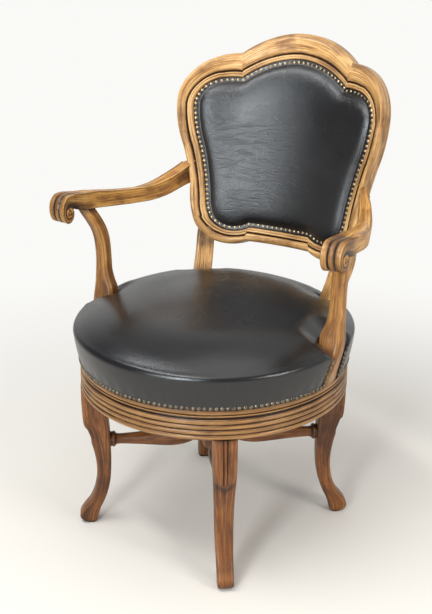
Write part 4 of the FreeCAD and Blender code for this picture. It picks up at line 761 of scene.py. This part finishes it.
def back_post_shape(side):
    """The foot of a stile, from the ring up to the moulded board: v is the share of its height."""
    foot_y = math.sqrt(FOOT_RADIUS**2 - POST_FOOT**2)
    foot_turn, board_turn = math.asin(POST_FOOT / FOOT_RADIUS), math.asin(POST_SPREAD / BACK_BOW)
    board_x = POST_SPREAD + BACK_THICK / 2 * math.sin(board_turn)
    board_front = BACK_FOOT - (BACK_BOW - math.sqrt(BACK_BOW**2 - POST_SPREAD**2))
    board_middle = board_front + BACK_THICK / 2 * math.cos(board_turn)

    def shape(u, v):
        height = v * BACK_POST_TALL
        over = follow(BACK_POST_LINE, height)[0]
        board_y = board_middle + BACK_SLOPE * np.maximum(height * MM, BACK_LIFT)
        turn = foot_turn + (board_turn - foot_turn) * over
        deep = BACK_POST_DEEP + (BACK_THICK - 0.003 - BACK_POST_DEEP) * over
        across, out, out_x, out_y = bar_points(back_post_plan, u, BACK_POST_WIDE, deep, BACK_POST_EDGE)
        x = POST_FOOT + (board_x - POST_FOOT) * over + np.cos(turn) * across + np.sin(turn) * out
        y = foot_y + (board_y - foot_y) * over - np.sin(turn) * across + np.cos(turn) * out
        # painted shade where the foot runs into the moulded board and low down beside the cushion; the arrises
        # are lighter
        shade = 0.55 * ease(118.0, 134.0, height) + 0.3 * ease(100.0, 60.0, height)
        shade = shade - 0.6 * np.abs(out_x * out_y)
        return side * x, y + AXIS_Y, LIP_TOP + height * MM, shade

    return shape


pieces = {
    "crest": moulded("crest_moulded", -crest_joint, crest_joint),
    "left": moulded("stile_left", crest_joint, bottom_joint),
    "bottom": moulded("bottom_moulded", bottom_joint, whole_run - bottom_joint),
    "right": moulded("stile_right", whole_run - bottom_joint, whole_run - crest_joint),
}
for name, side in SIDES.items():
    foot = laid_grid("stile_foot_" + name, back_post_plan.shape[1], 60, back_post_shape(side), (0.13, 0.17))
    stile = joined("back_stile_" + name + "_shaped", pieces[name], foot)
    dress(stile, frame_beech, "seat", "beech", "back_stile_" + name)
for name in ("crest", "bottom"):
    dress(pieces[name], frame_beech, "seat", "beech", "back_" + name + "_rail")

# Seat cushion. Black hide drawn tight over hair, with an almost upright side and a crisp soft edge,
# nailed to the ring over the lip. It is cut and turned in round the posts of the arms and of the back.
UNDER_SHARE, RIPPLES, RIPPLE_DEPTH = 0.15, 60.0, 0.00035
# how far the hide is drawn down beside the posts, and how far it bulges beside that, in mm
ARM_DIP, ARM_BULGE, BACK_DIP, DOME_WAVE = 13.0, 2.0, 9.0, 1.3
# ends and middles of arcs up the side and over the top: radius and height over the lip, in mm
CUSHION_SIDE = [
    (264, 0), (271.13, 29), (275.5, 58), (273.7, 67.5), (266.5, 72.5), (217.6, 98.3), (129.5, 113.5),
    (64.7, 117.6), (0, 119),
]
# under the hide: share of the way in, height over the lip in mm, and the farthest that it may reach, in m
CUSHION_UNDER = np.array([
    (0.0, 0.0, 0.30), (0.12, 0.0, 0.2624), (0.36, 44.8, 0.2624), (0.52, 44.8, 0.233), (0.60, 49.8, 0.233),
    (1.0, 49.8, 0.0),
])


def black_hide(name, sheen, mirror, polish, creased, relief):
    """Smooth black leather with a fine grain, wrinkles and a rubbed, half glossy finish."""
    material, tree, where = new_finish(name)
    place = where["Object"]
    rubbed = mottle(tree, place, 7.0, 5.0)
    cells = wire_up(tree, "TexVoronoi", {"feature": "DISTANCE_TO_EDGE"}, Vector=place, Scale=620.0)
    grain = scaled(tree, cells.outputs[0], 0.0, 0.16)
    slant = wire_up(tree, "Mapping", Vector=place, Rotation=(0.0, 0.5, 0.3), Scale=(16.0, 16.0, 62.0))
    folds = mottle(tree, slant.outputs[0], 1.0, 6.0, Distortion=0.8)
    folds = sums(tree, "ABSOLUTE", sums(tree, "SUBTRACT", folds, 0.5))
    wrinkles = sums(tree, "MULTIPLY", scaled(tree, folds, 0.0, 0.05), scaled(tree, rubbed, 0.45, 0.65))
    height = sums(tree, "MULTIPLY_ADD", grain, 0.30, sums(tree, "MULTIPLY", wrinkles, creased))
    height = sums(tree, "MULTIPLY_ADD", mottle(tree, place, 58.0, 5.0), 0.8, height)
    plug_in(
        tree, tree.nodes["Principled BSDF"],
        Base_Color=mix_colours(tree, rubbed, (0.0035, 0.0035, 0.004), (0.009, 0.009, 0.010)),
        Roughness=scaled(tree, rubbed, 0.3, 0.7, sheen, sheen + 0.13), Specular_IOR_Level=mirror,
        Coat_Weight=polish, Coat_Roughness=0.12, Normal=raised(tree, height, relief, 0.0012),
    )
    return material


leather = black_hide("black_hide", sheen=0.18, mirror=0.55, polish=0.10, creased=0.04, relief=0.14)
back_leather = black_hide("black_hide_back", sheen=0.22, mirror=0.74, polish=0.0, creased=1.0, relief=0.26)


def soft_section(points=220, reach=24, softness=9.0):
    """The cushion's section from the lip to its middle, with the bends on its top smoothed away."""
    line = along_arcs(CUSHION_SIDE, points)
    spread = np.exp(-0.5 * (np.arange(-reach, reach + 1) / softness) ** 2)
    smoothed = np.convolve(np.pad(line, reach, "reflect", reflect_type="odd"), spread / spread.sum(), "valid")
    on_top = ease(250.0, 225.0, line.real)
    return line * (1 - on_top) + smoothed * on_top


cushion_line = soft_section()


def post_room(y, height):
    """How far a place is beside an arm post at its height, and how near to the axis the post comes there."""
    inner, _, forward, deep = follow(POST_LINE, np.clip(height, 0, 130)) * MM
    return np.abs(y + POST_FORWARD * MM + forward) - deep / 2, RING_RADIUS + inner


def notched(x, y, height):
    """A place on the cushion after the hide was cut and turned in round the posts."""
    side = np.where(x >= 0, 1.0, -1.0)
    beside, reach = post_room(y, height)
    near, limit = np.abs(x), reach - 0.0015
    x = side * np.where(near > limit, near + (limit - near) * ease(0.016, 0.001, beside), near)
    dip = ease(0.042, 0.0, np.maximum(beside, 0)) * ease(0.185, 0.236, near)
    bulge = np.exp(-(((beside - 0.032) / 0.010) ** 2)) * ease(0.20, 0.24, near)
    on_top = ease(50, 72, height)
    lower = (ARM_DIP * dip - ARM_BULGE * bulge) * on_top
    limit = FOOT_RADIUS - BACK_POST_DEEP / 2 - 0.001
    for hand in SIDES.values():
        post_x, post_y = hand * POST_FOOT / FOOT_RADIUS, math.sqrt(1 - (POST_FOOT / FOOT_RADIUS) ** 2)
        out = x * post_x + y * post_y
        beside = np.abs(y * post_x - x * post_y) - (BACK_POST_WIDE / 2 + 0.001)
        shift = (limit - out) * ease(0.014, 0.0, beside) * (out > limit)
        x, y = x + post_x * shift, y + post_y * shift
        lower = lower + BACK_DIP * ease(0.036, 0.0, np.maximum(beside, 0)) * ease(0.18, 0.228, out) * on_top
    return x, y, height - lower


def cushion_shape(u, v):
    """The hide, from the middle of its underside out over the ring, down to the lip and up over the top."""
    turn = 2 * math.pi * u
    turn = turn - 0.055 * np.sin(4 * turn)
    at = np.clip((v - UNDER_SHARE) / (1 - UNDER_SHARE), 0, 1) ** 1.12 * (len(cushion_line) - 1)
    section = on_line(cushion_line, at)
    back = np.clip(1 - v / UNDER_SHARE, 0, 1)
    outer = back == 0
    steps, under_height, under_reach = CUSHION_UNDER.T
    height = np.where(outer, section.imag, np.interp(back, steps, under_height))
    side = cushion_line[cushion_line.imag < 57]
    radius = np.where(outer, section.real, np.interp(height, side.imag, side.real)) * MM
    height = height + DOME_WAVE * np.sin(3.0 * turn + 0.7) * ease(0.10, 0.24, radius) * ease(50, 75, height)
    ripple = np.sin(RIPPLES * turn + 2.0 * np.sin(5 * turn)) * ease(0, 10, height) * ease(34, 16, height)
    radius = radius + RIPPLE_DEPTH * ripple * outer
    x, y, height = notched(radius * np.cos(turn), radius * np.sin(turn), height)
    reach = np.hypot(x, y)
    within = np.minimum(np.interp(back, steps, under_reach), reach - 0.0015)
    shrink = np.where(outer, 1.0, within / np.maximum(reach, 1e-6))
    return x * shrink, y * shrink + AXIS_Y, LIP_TOP + height * MM, 0.0


cushion = laid_grid("seat_cushion_skin", 480, 130, cushion_shape, sharp=60)
dress(cushion, leather, "seat", "black_leather", "seat_leather", "seat_stuffing")

# Back cushion. Black hide over a crowned pad of hair inside the frame, nailed in the frame's rebate. A
# second, flatter sheet of the hide closes the rear of the back and has nails of its own.
PAD_MIDDLE = 185j
# in mm: the pad's crown, how deep its edge lies, how far it is tucked in, the flat strip beside the nails,
# the width of the soft shoulder inside it, and where the pad is at its fullest
BACK_CROWN, HIDE_LOW, HIDE_TUCK, NAIL_STRIP, SHOULDER, FULLEST = 17.0, 5.4, 5.0, 4.2, 13.0, 190.0
REAR_HIDE, REAR_CROWN, REAR_SHOULDER = 1.6, 3.0, 30.0


def from_nails(place):
    """A soft distance in mm from a place on the back to the line of nails, smooth also in its corners."""
    edge = (nail_line[1:] + nail_line[:-1]) / 2
    length = np.abs(np.diff(nail_line))
    pull = np.zeros(len(place))
    for part in np.array_split(np.arange(len(edge)), 24):
        gap = np.abs(place[:, None] - edge[None, part])
        pull += (length[part] / np.maximum(gap, 0.4) ** 3).sum(1)
    return math.sqrt(2) / np.sqrt(pull)


def nails_at(u):
    """The places of the nails round the back, and the ways outwards from them."""
    return (on_line(line, u * whole_run) for line in (nail_line, line_out))


def back_pad_shape(u, v, tucked=0.035):
    """The front hide: v runs from its edge, tucked in beside the moulding, to the middle of the pad."""
    edge, out = nails_at(u)
    share = np.clip((v - tucked) / (1 - tucked), 0, 1)
    place = edge + out * HIDE_TUCK * np.clip(1 - v / tucked, 0, 1) + (PAD_MIDDLE - edge) * share
    soft = from_nails(place) * (share > 0)
    rise = 0.64 * (1 - np.exp(-np.maximum(soft - NAIL_STRIP, 0.0) / SHOULDER))
    rise = rise + 0.36 * ease(0.0, FULLEST, soft * 1.15)
    return (*on_back(place, HIDE_LOW - (HIDE_LOW + BACK_CROWN) * rise), 0.0)


def rear_panel_shape(u, v):
    """The rear hide, from its edge outside the nails' line to its middle."""
    edge, out = nails_at(u)
    edge = edge + out * HIDE_TUCK
    place = edge + (PAD_MIDDLE - edge) * v
    rise = (1 - np.exp(-from_nails(place) / REAR_SHOULDER)) * (v > 0)
    return (*on_back(place, BACK_THICK / MM + REAR_HIDE + REAR_CROWN * rise), 0.0)


def sheet_of_hide(name, rows, shape, thickness):
    """A sheet of leather laid over the back from all its nails to its middle."""
    sheet = laid_grid(name, whole_run, rows, shape, closed=False, sharp=60)
    thick = sheet.modifiers.new("hide", "SOLIDIFY")
    thick.thickness, thick.offset = thickness, -1
    bpy.context.view_layer.objects.active = sheet
    bpy.ops.object.modifier_apply(modifier="hide")
    return sheet


back_pad = sheet_of_hide("back_cushion_skin", 80, back_pad_shape, 0.0016)
dress(back_pad, back_leather, "seat", "black_leather", "back_leather", "back_stuffing")
rear = sheet_of_hide("rear_panel_skin", 60, rear_panel_shape, 0.0015)
dress(rear, leather, "seat", "black_leather", "rear_panel")

# Dome nails. Aged brass in rows round the seat, the back and the rear: dark bronze with rubbed domes round
# the seat and paler on the back. Their shanks are driven through the hide into the wood.
def aged_brass(name, dull, bright, dirt):
    """Brass gone dull, with rubbed spots; there are fewer of them with more dirt."""
    material, tree, where = new_finish(name)
    spots = mottle(tree, where["Object"], 210.0, 4.0)
    ramp = wire_up(tree, "ValToRGB", Fac=spots)
    stops = ramp.color_ramp.elements
    stops[0].position, stops[0].color = dirt, (*dull, 1)
    stops[1].position, stops[1].color = dirt + 0.25, (*bright, 1)
    scratches = mottle(tree, where["Object"], 1500.0, 2.0)
    plug_in(
        tree, tree.nodes["Principled BSDF"], Base_Color=ramp.outputs[0], Metallic=0.85,
        Roughness=scaled(tree, spots, 0.3, 0.7, 0.48, 0.28), Normal=raised(tree, scratches, 0.15, 0.0003),
    )
    return material


def finish_nodes(material, *nodes):
    """Gives its material to pieces that keep the form they have."""
    for node in nodes:
        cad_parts[node].material_slots[0].material = material


bronze = aged_brass("bronze_nails", (0.040, 0.032, 0.022), (0.20, 0.165, 0.12), 0.30)
brass = aged_brass("brass_nails", (0.11, 0.075, 0.040), (0.50, 0.37, 0.20), 0.28)
finish_nodes(bronze, "seat_nails")
finish_nodes(brass, "back_nails", "rear_nails")

# Cross rails and dowels. Plain planed beech: two half-lapped rails tenoned into each ring, and turned dowels
# glued into the joints of the legs, the arms and the back.
plain_beech = waxed_beech(
    "plain_beech", (0.50, 0.34, 0.18), (0.40, 0.25, 0.12), (0.20, 0.11, 0.05), (0.05, 0.03, 0.015),
    rough=0.55, space="Object",
)
finish_nodes(
    plain_beech, "base_cross_rail_lower", "base_cross_rail_upper", "seat_cross_rail_lower",
    "seat_cross_rail_upper", "leg_dowels", "arm_dowels", "back_frame_dowels",
)

# Swivel. Two pressed steel plates screwed to the cross rails with a ring of balls in a thin cage between
# them, held by a bolt with washer and nut; the same dull steel is used for the screws of the posts.
def worn_steel(name, clean, rusty, rough):
    """Steel with brown stains of rust, which are rougher than the bare metal."""
    material, tree, where = new_finish(name)
    stains = mottle(tree, where["Object"], 45.0, 6.0)
    rust = scaled(tree, stains, 0.52, 0.66, 0.0, 0.8)
    pits = mottle(tree, where["Object"], 900.0, 3.0)
    plug_in(
        tree, tree.nodes["Principled BSDF"], Base_Color=mix_colours(tree, rust, clean, rusty),
        Metallic=scaled(tree, rust, 0.0, 1.0, 0.9, 0.2), Roughness=scaled(tree, stains, 0.4, 0.7, rough, 0.7),
        Normal=raised(tree, pits, 0.2, 0.0003),
    )
    return material


steel = worn_steel("dull_steel", (0.30, 0.30, 0.31), (0.10, 0.045, 0.02), 0.38)
ball_steel = worn_steel("ball_steel", (0.52, 0.52, 0.53), (0.20, 0.15, 0.10), 0.18)
finish_nodes(
    steel, "swivel_lower_plate", "swivel_upper_plate", "lower_plate_screws", "upper_plate_screws", "ball_cage",
    "pivot_bolt", "pivot_washer", "pivot_nut", "arm_post_screws", "back_post_screws",
)
finish_nodes(ball_steel, "bearing_balls")

# Webbing and hessian. Bands of woven jute stretched across the seat ring and the back's frame, and a sheet
# of hessian over each that carries the stuffing.
def woven_jute(name, light, dark, thread, weft="Y"):
    """Jute cloth with its warp counted along X and its weft along Y, or along Z on an upright sheet."""
    material, tree, where = new_finish(name)
    threads = []
    for direction in ("X", weft):
        wave = wire_up(
            tree, "TexWave", {"wave_type": "BANDS", "bands_direction": direction},
            Vector=where["Object"], Scale=thread, Distortion=0.6, Detail=2.0,
        )
        threads.append(wave.outputs["Fac"])
    weave = sums(tree, "MULTIPLY", sums(tree, "MAXIMUM", *threads), 0.5)
    tone = sums(tree, "MULTIPLY_ADD", mottle(tree, where["Object"], 420.0, 4.0), 0.6, weave)
    plug_in(
        tree, tree.nodes["Principled BSDF"], Base_Color=mix_colours(tree, tone, dark, light), Roughness=0.9,
        Normal=raised(tree, tone, 0.6, 0.0008),
    )
    return material


HESSIAN_LIGHT, HESSIAN_DARK = (0.40, 0.29, 0.17), (0.14, 0.09, 0.05)
webbing = woven_jute("jute_webbing", (0.42, 0.30, 0.16), (0.16, 0.10, 0.05), 320.0)
finish_nodes(webbing, "seat_webbing", "back_webbing")
finish_nodes(woven_jute("hessian", HESSIAN_LIGHT, HESSIAN_DARK, 210.0), "seat_hessian")
finish_nodes(woven_jute("hessian_back", HESSIAN_LIGHT, HESSIAN_DARK, 210.0, weft="Z"), "back_hessian")

# Floor, light and camera. The pale floor keeps the shadows near the chair and runs on into a white backdrop.
# A tall window, a long skylight and two soft lamps light it, and the dark leather mirrors a bright window.
BACKDROP = (0.955, 0.95, 0.93)
bpy.ops.object.select_all(action="DESELECT")
bpy.ops.mesh.primitive_plane_add(size=60.0, location=(0, 0, 0))
floor = bpy.context.object
floor.name = "floor"
floor_paint, ground, spot = new_finish("floor_paint")
paint = ground.nodes["Principled BSDF"]
plug_in(ground, paint, Base_Color=(0.77, 0.73, 0.665), Roughness=0.7)
backdrop = wire_up(ground, "Emission", Color=BACKDROP, Strength=1.0)
away = wire_up(ground, "VectorMath", {"operation": "LENGTH"}, _0=spot["Object"]).outputs["Value"]
far = scaled(ground, away, 0.35, 1.5, curve="SMOOTHSTEP")
far = sums(ground, "MULTIPLY", far, wire_up(ground, "LightPath").outputs["Is Camera Ray"])
blend = wire_up(ground, "MixShader", _0=far, _1=paint.outputs[0], _2=backdrop.outputs[0])
plug_in(ground, ground.nodes["Material Output"], Surface=blend.outputs[0])
floor.data.materials.append(floor_paint)

# The backdrop is white behind the chair but lights it only dimly; what is polished also mirrors a pale wall
# and a bright window, which lies in the direction of MIRRORED_WINDOW.
MIRRORED_WINDOW = (-0.08, -0.97, 0.22)
world = bpy.data.worlds.new("studio")
bpy.context.scene.world = world
world.use_nodes = True
sky = world.node_tree
path = wire_up(sky, "LightPath").outputs
way = wire_up(sky, "TexCoord").outputs["Generated"]
depth = wire_up(sky, "SeparateXYZ", Vector=way).outputs["Y"]
wall = scaled(sky, depth, -0.3, 0.8, -0.35, 0.9, "SMOOTHSTEP")
wall = sums(sky, "MULTIPLY", path["Is Glossy Ray"], wire_up(sky, "Clamp", Value=wall).outputs[0])
toward = wire_up(sky, "VectorMath", {"operation": "DOT_PRODUCT"}, _0=way, _1=MIRRORED_WINDOW)
glow = scaled(sky, toward.outputs["Value"], 0.92, 0.995, curve="SMOOTHSTEP")
glow = sums(sky, "MULTIPLY", glow, path["Is Glossy Ray"])
ray = sums(sky, "MAXIMUM", path["Is Camera Ray"], sums(sky, "MAXIMUM", wall, glow))
lit, seen = sky.nodes["Background"], wire_up(sky, "Background")
dim = sums(sky, "MULTIPLY_ADD", path["Is Glossy Ray"], -0.26, 0.50)
bright = sums(sky, "MULTIPLY_ADD", glow, 5.0, 1.0)
plug_in(sky, lit, Color=(0.93, 0.96, 1.0), Strength=dim)
plug_in(sky, seen, Color=mix_colours(sky, glow, BACKDROP, (0.82, 0.93, 1.0)), Strength=bright)
both = wire_up(sky, "MixShader", _0=ray, _1=lit.outputs[0], _2=seen.outputs[0])
plug_in(sky, sky.nodes["World Output"], Surface=both.outputs[0])


def area_light(name, place, aim, size, watts, colour):
    """An oval lamp of a width and a height that shines from its place towards its aim."""
    lamp = bpy.data.lights.new(name, "AREA")
    lamp.shape, lamp.energy, lamp.color = "ELLIPSE", watts, colour
    lamp.size, lamp.size_y = size
    holder = bpy.data.objects.new(name, lamp)
    bpy.context.collection.objects.link(holder)
    holder.location = place
    holder.rotation_euler = (Vector(aim) - Vector(place)).to_track_quat("-Z", "Y").to_euler()


area_light("window", (0.25, -2.9, 1.40), (0, 0, 0.6), (0.6, 1.5), 44, (0.92, 0.96, 1.0))
area_light("skylight", (-0.6, -1.2, 2.9), (0, -0.1, 0.5), (3.0, 0.35), 48, (0.97, 0.99, 1.0))
area_light("ceiling", (0.4, -0.3, 3.2), (0, 0, 0.4), (2.4, 2.4), 22, (1.0, 0.98, 0.95))
area_light("fill", (2.4, -0.6, 1.3), (0, 0, 0.6), (0.8, 0.9), 24, (1.0, 0.98, 0.95))

CAMERA_TILT, CAMERA_TURN = 21.654, 29.390565
camera = bpy.data.cameras.new("camera")
view = bpy.data.objects.new("camera", camera)
bpy.context.collection.objects.link(view)
view.location = (1.0363, -1.9016, 1.30326)
view.rotation_euler = (math.radians(90 - CAMERA_TILT), 0, math.radians(CAMERA_TURN))
camera.lens, camera.sensor_width = 67.79, 36.0
bpy.context.scene.camera = view
bpy.context.scene.view_settings.view_transform = "Standard"
